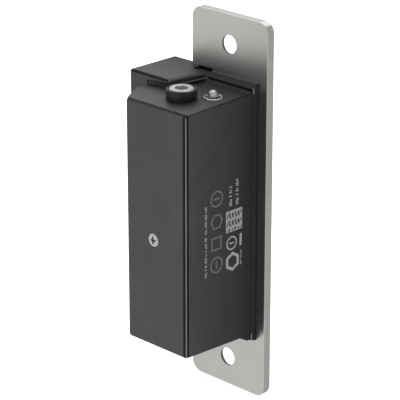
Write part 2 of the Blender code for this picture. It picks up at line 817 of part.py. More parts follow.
def make_keeper():
    """The swinging jaw: its lip holds the latch, and its tail reaches back to the locking lever."""
    pivot_x, pivot_y = KEEPER_PIVOT
    lip = [
        (KEEPER_FACE_X - 0.6, pivot_y - 2.0),
        (KEEPER_FACE_X, pivot_y - 2.8),
        (KEEPER_FACE_X, 2.6),
        (KEEPER_FACE_X + 1.7, 0),
        (KEEPER_OUTER_X - 2.6, 0),
        (KEEPER_OUTER_X, 1.8),
        (KEEPER_OUTER_X, pivot_y - 5.3),
    ]
    hub = arc(KEEPER_PIVOT, KEEPER_HUB_RADIUS, 12, 180, 10)
    keeper = prism("keeper", lip + hub, -KEEPER_HALF_HEIGHT, KEEPER_HALF_HEIGHT, "Z", stainless())
    round_edges(keeper, 0.35, lambda point: point.y < pivot_y - 3, 2)
    arm_front, arm_rear = pivot_y - 1.8, pivot_y + 1.7
    tail = [
        (pivot_x - 1.9, arm_front),
        (pivot_x - 1.9, arm_rear),
        (TAIL_X[1], arm_rear + 1.0),
        (TAIL_X[1], TAIL_TIP_Y),
        (TAIL_X[0], TAIL_TIP_Y),
        (TAIL_X[0], arm_rear),
        (TAIL_X[0] + 1.6, arm_front),
    ]
    join(keeper, prism("keeper_tail", tail, -TAIL_HALF_HEIGHT, TAIL_HALF_HEIGHT))
    for side in (1, -1):
        low, high = sorted((side * LATCH_PAD_HALF_HEIGHT, side * (KEEPER_HALF_HEIGHT + 1)))
        relief_x = (KEEPER_FACE_X - 1, KEEPER_FACE_X + LATCH_PAD_RAISE)
        cut(keeper, box(f"latch_pad_relief_{side}", relief_x, (-1, pivot_y - 2.5), (low, high)))
    low, high = SPRING_RECESS
    cut(
        keeper,
        cylinder("keeper_bore", KEEPER_PIVOT, PIVOT_PIN_RADIUS + SEAM, -40, 40),
        cylinder("spring_recess", KEEPER_PIVOT, KEEPER_HUB_RADIUS + 0.3, low, high),
    )
    return move_origin(keeper, (*KEEPER_PIVOT, 0))


def make_keeper_pivot():
    low, high, point = -42.4, 34.8, 0.3
    profile = [
        (0, low),
        (PIVOT_PIN_RADIUS - point, low),
        (PIVOT_PIN_RADIUS, low + point),
        (PIVOT_PIN_RADIUS, high - point),
        (PIVOT_PIN_RADIUS - point, high),
        (0, high),
    ]
    turned("keeper_pivot_pin", KEEPER_PIVOT, profile, bright_steel())
    bore = PIVOT_PIN_RADIUS + SEAM
    inner, outer = 25.35, 31.6
    flange_radius, flange_thick = 3.1, 0.55
    for name, side in (("upper", 1), ("lower", -1)):
        profile = [
            (bore, side * inner),
            (flange_radius, side * inner),
            (flange_radius, side * (inner + flange_thick)),
            (BUSH_RADIUS, side * (inner + flange_thick)),
            (BUSH_RADIUS, side * outer),
            (bore, side * outer),
        ]
        turned(f"keeper_bush_{name}", KEEPER_PIVOT, profile, brass())


def coil_path(centre, radius, low, high, turns, steps=12):
    path = []
    for i in range(turns * steps + 1):
        x, y = on_circle(centre, radius, 360 * i / steps)
        path.append(Vector((x, y, low + (high - low) * i / (turns * steps))))
    return path


def make_keeper_spring():
    """A torsion spring round the pivot pin, with one leg on the keeper's lip."""
    path = coil_path(KEEPER_PIVOT, 2.35, SPRING_RECESS[0] + 1.2, SPRING_RECESS[1] - 1.2, 5)
    path.append(path[-1] + Vector((0, 1.7, 0)))
    spring = swept("keeper_spring", path, 0.32, bright_steel())
    return move_origin(spring, (*KEEPER_PIVOT, 0))


# ---------------------------------------------------------------- solenoid and lock


def make_yoke():
    """A C-shaped frame: a back plate and two end plates."""
    half = 4.8
    right = SOLENOID[0] + half
    back_y = (BODY_REAR + 0.15, BODY_REAR + 1.3)
    yoke = box("solenoid_yoke", (-2.8, right), back_y, (YOKE_LOW, YOKE_HIGH), dark_steel())
    end_x = (SOLENOID[0] - half, right)
    end_y = (BODY_REAR + 0.15, SOLENOID[1] + 6.4)
    join(
        yoke,
        box("yoke_low", end_x, end_y, (YOKE_LOW, YOKE_LOW + YOKE_THICK)),
        box("yoke_high", end_x, end_y, (YOKE_HIGH - YOKE_THICK, YOKE_HIGH)),
    )
    plunger_hole = PLUNGER_RADIUS + 0.25
    cut(
        yoke,
        cylinder("yoke_plunger_hole", SOLENOID, plunger_hole, YOKE_LOW - 1, YOKE_LOW + 3),
        cylinder("yoke_core_hole", SOLENOID, CORE_SPIGOT + 0.1, YOKE_HIGH - 3, YOKE_HIGH + 1),
    )
    for i, level in enumerate(YOKE_SCREW_Z):
        centre = (YOKE_SCREW_X, level)
        cut(yoke, cylinder(f"yoke_tap_{i}", centre, 1.25, 14, 18, "Y", None, SMALL_ROUND))
    return yoke


def make_yoke_screws():
    head_face, head_thick, head_radius = 6.6, 2.1, 2.2
    shank, end = 1.15, BODY_REAR + 1.25
    profile = [
        (0, head_face),
        (head_radius, head_face),
        (head_radius, head_face + head_thick),
        (shank, head_face + head_thick),
        (shank, end),
        (0, end),
    ]
    for name, level in zip(("lower", "upper"), YOKE_SCREW_Z):
        centre = (YOKE_SCREW_X, level)
        screw = turned(f"yoke_screw_{name}", centre, profile, bright_steel(), "Y", SMALL_ROUND)
        cut(screw, phillips(f"yoke_recess_{name}", centre, "Y", head_face, 1, 2.4))


def make_coil():
    low = YOKE_LOW + YOKE_THICK + 0.15
    high = YOKE_HIGH - YOKE_THICK - 0.15
    flange_thick, flange_radius = 1.1, COIL_RADIUS + 0.2
    bore = PLUNGER_RADIUS + 0.25
    tube = bore + 0.75
    profile = [
        (bore, low),
        (flange_radius, low),
        (flange_radius, low + flange_thick),
        (tube, low + flange_thick),
        (tube, high - flange_thick),
        (flange_radius, high - flange_thick),
        (flange_radius, high),
        (bore, high),
    ]
    turned("solenoid_bobbin", SOLENOID, profile, white_plastic())
    wound_low = low + flange_thick + 0.15
    wound_high = high - flange_thick - 0.15
    ring("solenoid_coil", SOLENOID, tube + 0.15, COIL_RADIUS, wound_low, wound_high, copper())
    core_low, shoulder = PLUNGER_HIGH + 1.8, YOKE_HIGH - YOKE_THICK - 0.1
    profile = [
        (0, core_low),
        (PLUNGER_RADIUS, core_low),
        (PLUNGER_RADIUS, shoulder),
        (CORE_SPIGOT, shoulder),
        (CORE_SPIGOT, YOKE_HIGH + 0.1),
        (CORE_SPIGOT + 0.8, YOKE_HIGH + 0.1),
        (CORE_SPIGOT + 0.4, YOKE_HIGH + 0.8),
        (0, YOKE_HIGH + 0.8),
    ]
    turned("solenoid_core", SOLENOID, profile, bright_steel())


def make_plunger():
    edge = 0.4
    profile = [
        (0, PLUNGER_LOW),
        (PLUNGER_RADIUS - edge, PLUNGER_LOW),
        (PLUNGER_RADIUS, PLUNGER_LOW + edge),
        (PLUNGER_RADIUS, PLUNGER_HIGH - edge),
        (PLUNGER_RADIUS - edge, PLUNGER_HIGH),
        (0, PLUNGER_HIGH),
    ]
    plunger = turned("plunger", SOLENOID, profile, bright_steel())
    slot_y = (LEVER_FRONT - 0.3, LEVER_REAR + 0.3)
    cut(plunger, box("plunger_slot", (-5, 6), slot_y, (PLUNGER_LOW - 1, -0.1)))
    pin_place = (SOLENOID[0], CROSS_PIN_Z)
    pin_radius, pin_half = 0.8, 2.7
    pin_y = (SOLENOID[1] - pin_half, SOLENOID[1] + pin_half)
    hole = cylinder("plunger_pin_hole", pin_place, pin_radius + 0.1, 18, 28, "Y", None, SMALL_ROUND)
    cut(plunger, hole)
    cylinder("plunger_cross_pin", pin_place, pin_radius, *pin_y, "Y", bright_steel(), SMALL_ROUND)
    ring("plunger_clip", SOLENOID, PLUNGER_RADIUS + 0.1, 4.3, CLIP_Z[0], CLIP_Z[1], dark_steel())


def make_return_spring():
    path = coil_path(SOLENOID, 3.75, CLIP_Z[1] + 0.4, YOKE_LOW - 0.4, 5)
    return swept("return_spring", path, 0.3, bright_steel())


def make_locking_lever():
    """A cranked bar: the plunger lifts it, and its nose stops the keeper's tail."""
    pivot = (LEVER_PIVOT_X, CROSS_PIN_Z)
    hub = arc(pivot, LEVER_HUB_RADIUS, 90, 270, 8)
    nose_x = (TAIL_X[0] - 1.65, TAIL_X[0] - 0.8)
    nose_z = (-12.0, -7.7)
    arm = [
        (1.5, -5.9),
        (8.0, nose_z[0]),
        (nose_x[0], nose_z[0]),
        (nose_x[1], nose_z[1]),
        (8.8, nose_z[1]),
        (4.0, -1.4),
    ]
    lever = prism("locking_lever", hub + arm, LEVER_FRONT, LEVER_REAR, "Y", bright_steel())
    slot_radius, slot_half = 1.05, 0.4
    right = (SOLENOID[0] + slot_half, CROSS_PIN_Z)
    left = (SOLENOID[0] - slot_half, CROSS_PIN_Z)
    slot = arc(right, slot_radius, -90, 90, 6) + arc(left, slot_radius, 90, 270, 6)
    cut(
        lever,
        prism("lever_slot", slot, LEVER_FRONT - 1, LEVER_REAR + 1, "Y"),
        cylinder("lever_bore", pivot, LEVER_PIN_RADIUS + 0.1, 20, 26, "Y", None, SMALL_ROUND),
    )
    middle = (LEVER_FRONT + LEVER_REAR) / 2
    move_origin(lever, (LEVER_PIVOT_X, middle, CROSS_PIN_Z))
    pin_y = (LEVER_FRONT - 2.0, LEVER_REAR + 2.0)
    cylinder("lever_pivot_pin", pivot, LEVER_PIN_RADIUS, *pin_y, "Y", dark_steel(), SMALL_ROUND)


# ---------------------------------------------------------------- latch monitor


def make_cup_washer(name, side):
    """A dished ring pressed over the rod's end, in a shallow seat in the casing's top or bottom."""
    level = casing_half_height(ROD[1]) - WASHER_DEPTH
    bore = ROD_RADIUS + 0.08
    outer, floor, height = WASHER_RADIUS, 0.3, 0.65
    heights = [
        (bore, 0.0),
        (outer - 0.2, 0.0),
        (outer, 0.25),
        (outer, height),
        (outer - 0.35, height),
        (outer - 0.6, floor),
        (bore, floor),
    ]
    profile = [(radius, side * (level + rise)) for radius, rise in heights]
    turned(name, ROD, profile, bright_steel())


def make_monitor_rod():
    """A long rod with a domed button at each end."""
    level = casing_half_height(ROD[1]) + 0.25
    dome_radius = 1.55
    straight = 0.55
    angles = (0, 20, 40, 60, 75)
    dome = [on_circle((0, level + straight), dome_radius, angle) for angle in angles]
    top = [(ROD_RADIUS, level)] + dome + [(0, level + straight + dome_radius)]
    bottom = [(radius, -height) for radius, height in reversed(top)]
    turned("monitor_rod", ROD, bottom + top, bright_steel(), "Z", SMALL_ROUND)
    make_cup_washer("cup_washer_upper", 1)
    make_cup_washer("cup_washer_lower", -1)


def make_monitor_lever():
    """The latch pushes the paddle back, and the short arm then presses the switch's button."""
    hub_z = (-20.5, 9.0)
    blade_z = (-14.0, 8.0)
    lever = ring("monitor_lever", ROD, ROD_RADIUS + SEAM, 2.2, *hub_z, black_plastic())
    blade_front, blade_rear = POCKET_DEPTH + 0.1, POCKET_DEPTH + 1.3
    blade = [
        (ROD[0] + 1.6, blade_front + 0.4),
        (0.5, blade_front),
        (8.4, blade_front),
        (8.4, blade_rear),
        (0.5, blade_rear),
        (ROD[0] + 1.8, ROD[1] + 1.1),
    ]
    arm_x = (ROD[0] - 1.0, ROD[0] + 0.9)
    arm_y = (ROD[1] + 1.5, BUTTON_Y + 1.9)
    join(
        lever,
        prism("monitor_blade", blade, *blade_z),
        box("monitor_arm", arm_x, arm_y, (SWITCH_Z - 2, SWITCH_Z + 2)),
    )
    move_origin(lever, (*ROD, 0))


def make_monitor_switch():
    body_x = (-10.2, -7.85)
    body_y = (17.4, 26.05)
    body_z = (SWITCH_Z - 4, SWITCH_Z + 4)
    button_radius, button_x = 0.65, (-8.6, -7.05)
    centre = (BUTTON_Y, SWITCH_Z)
    body = box("monitor_switch", body_x, body_y, body_z, black_plastic())
    cut(body, cylinder("button_bore", centre, button_radius + 0.15, -9.4, -6, "X", None, SMALL_ROUND))
    button = cylinder("switch_button", centre, button_radius, *button_x, "X", white_plastic(), SMALL_ROUND)
    move_origin(button, (button_x[1], *centre))


# ---------------------------------------------------------------- mode selector


def make_selector():
    edge = 0.45
    top = SELECTOR_TOP
    bush_floor = SELECTOR_SEAT + 1.0
    rim_centre = (SELECTOR_BUSH_RADIUS - edge, top - edge)
    rim = [on_circle(rim_centre, edge, angle) for angle in (0, 22, 45, 67, 90)]
    pocket = SELECTOR_HEAD_RADIUS + SEAM
    profile = [(SELECTOR_BORE, SELECTOR_SEAT), (SELECTOR_BUSH_RADIUS, SELECTOR_SEAT)] + rim
    profile += [(pocket, top), (pocket, bush_floor), (SELECTOR_BORE, bush_floor)]
    turned("selector_bush", SELECTOR, profile, black_plastic())
    shank, end = SELECTOR_BORE - 0.15, 35.4
    head_low, head_high = bush_floor + 0.15, top + 0.05
    profile = [
        (0, end),
        (shank - 0.3, end),
        (shank, end + 0.4),
        (shank, head_low),
        (SELECTOR_HEAD_RADIUS, head_low),
        (SELECTOR_HEAD_RADIUS, head_high),
        (0, head_high),
    ]
    screw = turned("selector_screw", SELECTOR, profile, bright_steel())
    corner_radius = SELECTOR_SOCKET / math.sqrt(3)
    flat_y = (SELECTOR[1] + 1.0, SELECTOR[1] + 4)
    cut(
        screw,
        cylinder("hex_socket", SELECTOR, corner_radius, top - 2.2, top + 1, "Z", None, 6),
        box("selector_flat", (-3, 5), flat_y, (34, 37.0)),
    )
    move_origin(screw, (*SELECTOR, 40))
    clip = ring("selector_clip", SELECTOR, shank + 0.1, 3.4, 37.4, 37.9, dark_steel())
    mouth_x = (SELECTOR[0] - 0.9, SELECTOR[0] + 0.9)
    cut(clip, box("clip_mouth", mouth_x, (SELECTOR[1], SELECTOR[1] + 5), (37, 38.3)))


# ---------------------------------------------------------------- control board


def make_board():
    rear = BOARD_FRONT + BOARD_THICK
    board_y = (BOARD_FRONT, rear)
    board = box("circuit_board", (-9.8, 11.6), board_y, (BOARD_BOTTOM, BOARD_TOP), board_green())
    post_front = BODY_REAR + 0.1
    post_rear = BOARD_FRONT - 0.1
    post = [
        (0, 12),
        (1.1, 12),
        (1.1, post_front),
        (2.3, post_front),
        (2.3, post_rear),
        (1.05, post_rear),
        (1.05, 22),
        (0, 22),
    ]
    head = 1.1
    shank_front, head_front = 23.0, rear + 0.1
    fixing = [
        (0, shank_front),
        (0.9, shank_front),
        (0.9, head_front),
        (1.9, head_front),
        (1.9, head_front + head),
        (0, head_front + head),
    ]
    for i, level in enumerate(STANDOFF_Z):
        place = (STANDOFF_X, level)
        cut(board, cylinder(f"board_hole_{i}", place, 1.3, 25, 29, "Y", None, SMALL_ROUND))
        turned(f"board_standoff_{i + 1}", place, post, brass(), "Y", 6)
        screw = turned(f"board_screw_{i + 1}", place, fixing, bright_steel(), "Y", SMALL_ROUND)
        cut(screw, phillips(f"board_recess_{i}", place, "Y", head_front + head, -1, 2.0))


def make_cable_socket():
    floor = -(casing_half_height(22.0) + 0.1)
    wall = 0.8
    mouth_x = (SOCKET_X[0] + wall, SOCKET_X[1] - wall)
    mouth_y = (SOCKET_Y[0] + wall, SOCKET_Y[1] - wall)
    socket = box("cable_socket", SOCKET_X, SOCKET_Y, (floor, -30.5), white_plastic())
    cut(socket, box("socket_mouth", mouth_x, mouth_y, (floor - 1, -33.5)))
    pitch, count, pin_half, play = 2.0, 4, 0.3, 0.1
    middle_y = sum(SOCKET_Y) / 2 - 0.05
    for i in range(count):
        x = pitch * (i - (count - 1) / 2)
        hole = pin_half + play
        hole_y = (middle_y - hole, middle_y + hole)
        cut(socket, box(f"socket_pin_hole_{i}", (x - hole, x + hole), hole_y, (-34, -30)))
        pin_y = (middle_y - pin_half, middle_y + pin_half)
        box(f"socket_pin_{i + 1}", (x - pin_half, x + pin_half), pin_y, (-38.6, -30.2), brass())


def make_diode():
    centre = (BOARD_FRONT + 2.8, -21.0)
    body, wire = (3.0, 1.3), (6.0, 0.35)
    half = [(wire[1], body[0]), (body[1], body[0])]
    profile = [(0, -wire[0]), (wire[1], -wire[0])]
    profile += [(radius, -x) for radius, x in half]
    profile += [(radius, x) for radius, x in reversed(half)]
    profile += [(wire[1], wire[0]), (0, wire[0])]
    turned("suppressor_diode", centre, profile, black_plastic(), "X", SMALL_ROUND)


def make_coil_leads():
    """Two leads from the coil, down past the lever to the board."""
    falls = ((26.9, 13.5), (26.2, 10.5), (25.5, 7.0), (25.3, 1.0), (25.3, -6.0), (25.4, -14.0))
    left, spacing = 9.2, 1.6
    for name, x, finish in (("black", left, black_plastic()), ("red", left + spacing, red_lead())):
        start = Vector((x - spacing, falls[0][0], 15.6 + x - left))
        path = [start] + [Vector((x, y, z)) for y, z in falls]
        swept(f"coil_lead_{name}", path, 0.5, finish, 8)


clear_scene()
make_faceplate()
make_faceplate_screws()
make_front_frame()
make_rear_housing()
make_rear_cover()
make_rear_cover_screw()
make_keeper()
make_keeper_pivot()
make_keeper_spring()
make_yoke()
make_yoke_screws()
make_coil()
make_plunger()
make_return_spring()
make_locking_lever()
make_monitor_rod()
make_monitor_lever()
make_monitor_switch()
make_selector()
make_board()
make_cable_socket()
make_diode()
make_coil_leads()
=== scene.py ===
"""Looks of the electric door strike: finishes, fine surface pieces, generic print, light and camera.

Axes as in the frame: +Z up, +Y into the door frame, -X the side with the print. Named sizes are in
millimetres unless a name or comment says otherwise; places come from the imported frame.
"""

import json
import math

import bmesh
import bpy
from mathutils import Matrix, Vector


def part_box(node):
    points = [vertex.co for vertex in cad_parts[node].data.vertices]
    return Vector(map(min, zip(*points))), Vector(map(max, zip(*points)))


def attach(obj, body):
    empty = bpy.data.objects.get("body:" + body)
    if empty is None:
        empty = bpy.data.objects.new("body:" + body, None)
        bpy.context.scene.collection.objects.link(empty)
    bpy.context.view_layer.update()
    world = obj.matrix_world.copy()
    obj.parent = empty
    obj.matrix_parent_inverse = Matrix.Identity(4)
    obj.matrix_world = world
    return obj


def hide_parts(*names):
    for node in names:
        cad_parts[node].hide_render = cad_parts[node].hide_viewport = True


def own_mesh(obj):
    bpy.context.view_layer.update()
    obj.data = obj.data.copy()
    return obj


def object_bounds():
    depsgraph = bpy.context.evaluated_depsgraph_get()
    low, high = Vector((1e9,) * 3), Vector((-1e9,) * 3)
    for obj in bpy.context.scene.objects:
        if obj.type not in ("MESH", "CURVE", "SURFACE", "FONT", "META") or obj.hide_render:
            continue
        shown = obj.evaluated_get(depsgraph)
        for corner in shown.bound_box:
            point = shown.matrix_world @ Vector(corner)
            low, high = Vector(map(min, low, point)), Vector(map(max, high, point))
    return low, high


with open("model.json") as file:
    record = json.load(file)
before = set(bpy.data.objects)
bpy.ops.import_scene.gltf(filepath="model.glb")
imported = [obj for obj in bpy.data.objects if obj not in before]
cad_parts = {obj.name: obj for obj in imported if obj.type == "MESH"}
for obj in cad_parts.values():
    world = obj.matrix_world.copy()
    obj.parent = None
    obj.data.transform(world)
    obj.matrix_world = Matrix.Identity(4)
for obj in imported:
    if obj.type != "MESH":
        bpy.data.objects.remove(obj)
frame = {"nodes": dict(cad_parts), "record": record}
CAD_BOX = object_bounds()
NODES = frame["nodes"]
MM = 0.001

# Steps round a turned piece, the angle from which an edge counts as sharp, the angle up to which
# neighbouring facets count as one face, and the distance within which corners are joined, in metres.
FINE = 96
SHARP_ANGLE = math.radians(32)
FLAT_ANGLE = math.radians(0.4)
JOIN_DISTANCE = 0.000002
Y_AXIS, Z_AXIS = 1, 2


# ---------------------------------------------------------------- materials

# Sockets of a mix node, which share their names: the colour ones, then the number ones.
MIX_COLOUR_A, MIX_COLOUR_B, MIX_COLOUR_RESULT = 6, 7, 2
MIX_NUMBER_A, MIX_NUMBER_B, MIX_NUMBER_RESULT = 2, 3, 0


def new_material(name):
    """A new material, its node tree and its shader."""
    made = bpy.data.materials.new(name)
    made.use_nodes = True
    tree = made.node_tree
    return made, tree, tree.nodes["Principled BSDF"]


def link(tree, source, output, target, entry):
    """Joins a node's output to another node's input. Both go by their names or numbers."""
    tree.links.new(source.outputs[output], target.inputs[entry])


def noise(tree, scale, detail=3.0, stretch=(1, 1, 1)):
    """A noise texture in object space, with features of about 1/scale metres."""
    place = tree.nodes.new("ShaderNodeTexCoord")
    mapping = tree.nodes.new("ShaderNodeMapping")
    mapping.inputs["Scale"].default_value = stretch
    made = tree.nodes.new("ShaderNodeTexNoise")
    made.inputs["Scale"].default_value = scale
    made.inputs["Detail"].default_value = detail
    link(tree, place, "Object", mapping, "Vector")
    link(tree, mapping, "Vector", made, "Vector")
    return made


def ramp(tree, source, output, low, high, start=0.3, end=0.7):
    """Maps a value between start and end to the range from low to high: numbers or colours."""
    made = tree.nodes.new("ShaderNodeValToRGB")
    for element, place, value in zip(made.color_ramp.elements, (start, end), (low, high)):
        element.position = place
        element.color = (value, value, value, 1) if isinstance(value, float) else (*value, 1)
    link(tree, source, output, made, "Fac")
    return made


def add_bump(tree, shader, source, output, strength, depth):
    """A bump of the given depth in millimetres, on top of any bump that is there already."""
    bump = tree.nodes.new("ShaderNodeBump")
    bump.inputs["Strength"].default_value = strength
    bump.inputs["Distance"].default_value = depth * MM
    link(tree, source, output, bump, "Height")
    below = shader.inputs["Normal"].links
    if below:
        tree.links.new(below[0].from_socket, bump.inputs["Normal"])
    link(tree, bump, "Normal", shader, "Normal")


def depth_share(tree, front, rear, low):
    """A factor that rises from low at the depth front to 1 at the depth rear."""
    place = tree.nodes.new("ShaderNodeTexCoord")
    split = tree.nodes.new("ShaderNodeSeparateXYZ")
    made = tree.nodes.new("ShaderNodeMapRange")
    made.inputs["From Min"].default_value = front * MM
    made.inputs["From Max"].default_value = rear * MM
    made.inputs["To Min"].default_value = low
    made.inputs["To Max"].default_value = 1.0
    link(tree, place, "Object", split, "Vector")
    link(tree, split, "Y", made, "Value")
    return made


def scaled(tree, source, output, factor, target, entry, amount):
    """Feeds source times factor times amount into a number input."""
    first = tree.nodes.new("ShaderNodeMath")
    first.operation = "MULTIPLY"
    link(tree, source, output, first, 0)
    link(tree, factor, "Result", first, 1)
    second = tree.nodes.new("ShaderNodeMath")
    second.operation = "MULTIPLY"
    second.inputs[1].default_value = amount
    link(tree, first, "Value", second, 0)
    link(tree, second, "Value", target, entry)


# No painted shade towards the faceplate: the coat alike at every depth.
NO_PAINTED_SHADE = (0, 1, 1.0)


def black_coat(name, tone, grain, relief, roughness, gloss, painted_plate_shade=None):
    """Satin black powder coat over a casting: a fine grain, a slow ripple and slight patchiness.

    The last argument is (front, rear, low): from the depth rear to the depth front, in millimetres, the
    coat's colour and
    gloss sink to the share low: painted shade towards the faceplate, which keeps light off the coat next to
    it.
    """
    made, tree, shader = new_material(name)
    fine = noise(tree, grain)
    ripple = noise(tree, scale=450.0, detail=2.0)
    broad = noise(tree, scale=80.0, detail=2.0)
    patchiness = 0.14
    low = tuple(c * (1 - patchiness) for c in tone)
    high = tuple(c * (1 + patchiness) for c in tone)
    colour = ramp(tree, broad, "Fac", low, high)
    # Painted shade: the coat's colour and gloss are scaled down towards the faceplate.
    share = depth_share(tree, *(painted_plate_shade or NO_PAINTED_SHADE))
    tint = tree.nodes.new("ShaderNodeVectorMath")
    tint.operation = "SCALE"
    link(tree, colour, "Color", tint, 0)
    link(tree, share, "Result", tint, "Scale")
    link(tree, tint, "Vector", shader, "Base Color")
    speck = ramp(tree, fine, "Fac", low=0.7, high=1.3)
    scaled(tree, speck, "Color", share, shader, "Specular IOR Level", gloss)
    rough = ramp(tree, fine, "Fac", roughness - 0.05, roughness + 0.07)
    link(tree, rough, "Color", shader, "Roughness")
    add_bump(tree, shader, ripple, "Fac", strength=0.10, depth=0.06)
    add_bump(tree, shader, fine, "Fac", relief, depth=0.05)
    return made


def brushed_steel(name, tone, roughness, along, contrast, relief):
    """Brushed steel: long hair-fine streaks along one axis, in colour, roughness and height."""
    made, tree, shader = new_material(name)
    across_scale, along_scale = 6500.0, 70.0
    stretch = [across_scale] * 3
    stretch["XYZ".index(along)] = along_scale
    streaks = noise(tree, scale=1.0, detail=2.0, stretch=stretch)
    broad = noise(tree, scale=60.0, detail=2.0)
    colour = ramp(tree, streaks, "Fac", tuple(c * (1 - contrast) for c in tone), tone)
    haze = ramp(tree, broad, "Fac", low=0.95, high=1.0)
    tint = tree.nodes.new("ShaderNodeMix")
    tint.data_type = "RGBA"
    tint.blend_type = "MULTIPLY"
    tint.inputs["Factor"].default_value = 1.0
    link(tree, colour, "Color", tint, MIX_COLOUR_A)
    link(tree, haze, "Color", tint, MIX_COLOUR_B)
    link(tree, tint, MIX_COLOUR_RESULT, shader, "Base Color")
    rough = ramp(tree, streaks, "Fac", roughness - contrast / 2, roughness + contrast / 2)
    link(tree, rough, "Color", shader, "Roughness")
    add_bump(tree, shader, streaks, "Fac", relief, depth=0.02)
    shader.inputs["Metallic"].default_value = 1.0
    return made


def moulded(name, tone, roughness, metallic=0.0, gloss=0.5):
    """A moulded or turned finish: soft mottling in colour and roughness, and a faint grain."""
    made, tree, shader = new_material(name)
    fine = noise(tree, scale=1500.0)
    broad = noise(tree, scale=140.0, detail=2.0)
    mottled = 0.88
    colour = ramp(tree, broad, "Fac", tuple(c * mottled for c in tone), tone)
    link(tree, colour, "Color", shader, "Base Color")
    rough = ramp(tree, fine, "Fac", roughness - 0.05, roughness + 0.06)
    link(tree, rough, "Color", shader, "Roughness")
    add_bump(tree, shader, fine, "Fac", strength=0.15, depth=0.03)
    shader.inputs["Metallic"].default_value = metallic
    shader.inputs["Specular IOR Level"].default_value = gloss
    return made


def wound_copper():
    """Enamelled wire in close turns: fine rings up the winding, in height, and in colour as painted shade in
    the grooves between turns.
    """
    made, tree, shader = new_material("wound_copper")
    place = tree.nodes.new("ShaderNodeTexCoord")
    turns = tree.nodes.new("ShaderNodeTexWave")
    turns.bands_direction = "Z"
    wire_pitch = 0.28
    turns.inputs["Scale"].default_value = math.pi / (10 * wire_pitch * MM)
    turns.inputs["Distortion"].default_value = 0.4
    link(tree, place, "Object", turns, "Vector")
    # The darker colour in the grooves is painted shade between the turns.
    groove, crest = (0.30, 0.11, 0.05), (0.80, 0.40, 0.22)
    colour = ramp(tree, turns, "Fac", groove, crest, start=0.0, end=0.6)
    link(tree, colour, "Color", shader, "Base Color")
    add_bump(tree, shader, turns, "Fac", strength=0.6, depth=0.08)
    shader.inputs["Metallic"].default_value = 1.0
    shader.inputs["Roughness"].default_value = 0.32
    return made


def board_mask():
    """Green solder mask, with slightly raised tracks under it."""
    made, tree, shader = new_material("board_mask")
    place = tree.nodes.new("ShaderNodeTexCoord")
    tracks = tree.nodes.new("ShaderNodeTexVoronoi")
    tracks.feature = "DISTANCE_TO_EDGE"
    tracks.distance = "MANHATTAN"
    tracks.inputs["Scale"].default_value = 320.0
    link(tree, place, "Object", tracks, "Vector")
    track, ground = (0.07, 0.30, 0.13), (0.03, 0.17, 0.07)
    colour = ramp(tree, tracks, "Distance", track, ground, start=0.04, end=0.08)
    link(tree, colour, "Color", shader, "Base Color")
    add_bump(tree, shader, tracks, "Distance", strength=0.3, depth=0.05)
    shader.inputs["Roughness"].default_value = 0.32
    return made


COAT_TONE = (0.030, 0.030, 0.032)
# Painted shade: a darker copy of the coat for edge rounds, grooves, holes and recesses.
EDGE_SHADE_TONE = (0.008, 0.008, 0.009)
# Painted soft highlight: a lighter copy of the coat for some edges.
SOFT_HIGHLIGHT_TONE = (0.085, 0.085, 0.088)
# Painted highlight: a much lighter copy of the coat for lit edges and crests.
LIT_TONE = (0.20, 0.20, 0.205)
STEEL_TONE = (0.455, 0.455, 0.435)
TURNED_TONE = (0.46, 0.46, 0.45)
KEEPER_TONE = (0.60, 0.60, 0.59)
# Painted highlight: a brighter copy of the plate's steel for its arrises.
ARRIS_HIGHLIGHT_TONE = (0.85, 0.85, 0.83)
CAST_GRAIN = 2600.0
SHEET_GRAIN = 3400.0

FINISHES = {
    # The cast coat carries painted shade towards the faceplate, from 33 mm deep down to 2 mm.
    "black_cast": black_coat(
        "cast_coat", COAT_TONE, CAST_GRAIN, relief=0.5, roughness=0.5, gloss=0.5, painted_plate_shade=(2.0, 33.0, 0.38)
    ),
    "black_cover": black_coat("cover_coat", COAT_TONE, SHEET_GRAIN, relief=0.2, roughness=0.48, gloss=0.5),
    "stainless": brushed_steel("brushed_plate", STEEL_TONE, 0.33, "Z", contrast=0.02, relief=0.008),
    "bright_steel": brushed_steel("bright_turned", TURNED_TONE, 0.34, "Z", contrast=0.08, relief=0.03),
    "keeper_steel": brushed_steel("keeper_satin", KEEPER_TONE, 0.34, "Z", contrast=0.1, relief=0.15),
    "dark_steel": moulded("blackened_steel", (0.10, 0.10, 0.10), roughness=0.4, metallic=0.9),
    "spring_steel": moulded("spring_wire", (0.55, 0.55, 0.55), roughness=0.3, metallic=1.0),
    "brass": moulded("turned_brass", (0.72, 0.55, 0.25), roughness=0.3, metallic=1.0),
    "copper": wound_copper(),
    "black_plastic": moulded("black_moulding", (0.008, 0.008, 0.008), roughness=0.3, gloss=0.3),
    "white_plastic": moulded("pale_moulding", (0.78, 0.78, 0.74), roughness=0.45),
    "board_green": board_mask(),
    "red_lead": moulded("red_insulation", (0.5, 0.03, 0.03), roughness=0.45),
    "black_lead": moulded("black_insulation", (0.03, 0.03, 0.03), roughness=0.45),
}
# The frame's coat carries painted shade towards the faceplate, from 17 mm deep down to 2 mm.
FRAME_COAT = black_coat(
    "frame_coat", COAT_TONE, CAST_GRAIN, relief=0.4, roughness=0.5, gloss=0.46, painted_plate_shade=(2.0, 17.0, 0.5)
)
# Painted shade on edge rounds, in grooves and in recesses.
EDGE_SHADE_COAT = black_coat("painted_shade_coat", EDGE_SHADE_TONE, CAST_GRAIN, relief=0.2, roughness=0.45, gloss=0.12)
# Painted soft highlight on edges.
SOFT_HIGHLIGHT = black_coat("painted_soft_highlight", SOFT_HIGHLIGHT_TONE, CAST_GRAIN, relief=0.1, roughness=0.42, gloss=0.5)
# Painted highlight on edges and crests.
LIT_EDGE = black_coat("painted_highlight_coat", LIT_TONE, CAST_GRAIN, relief=0.1, roughness=0.4, gloss=0.5)
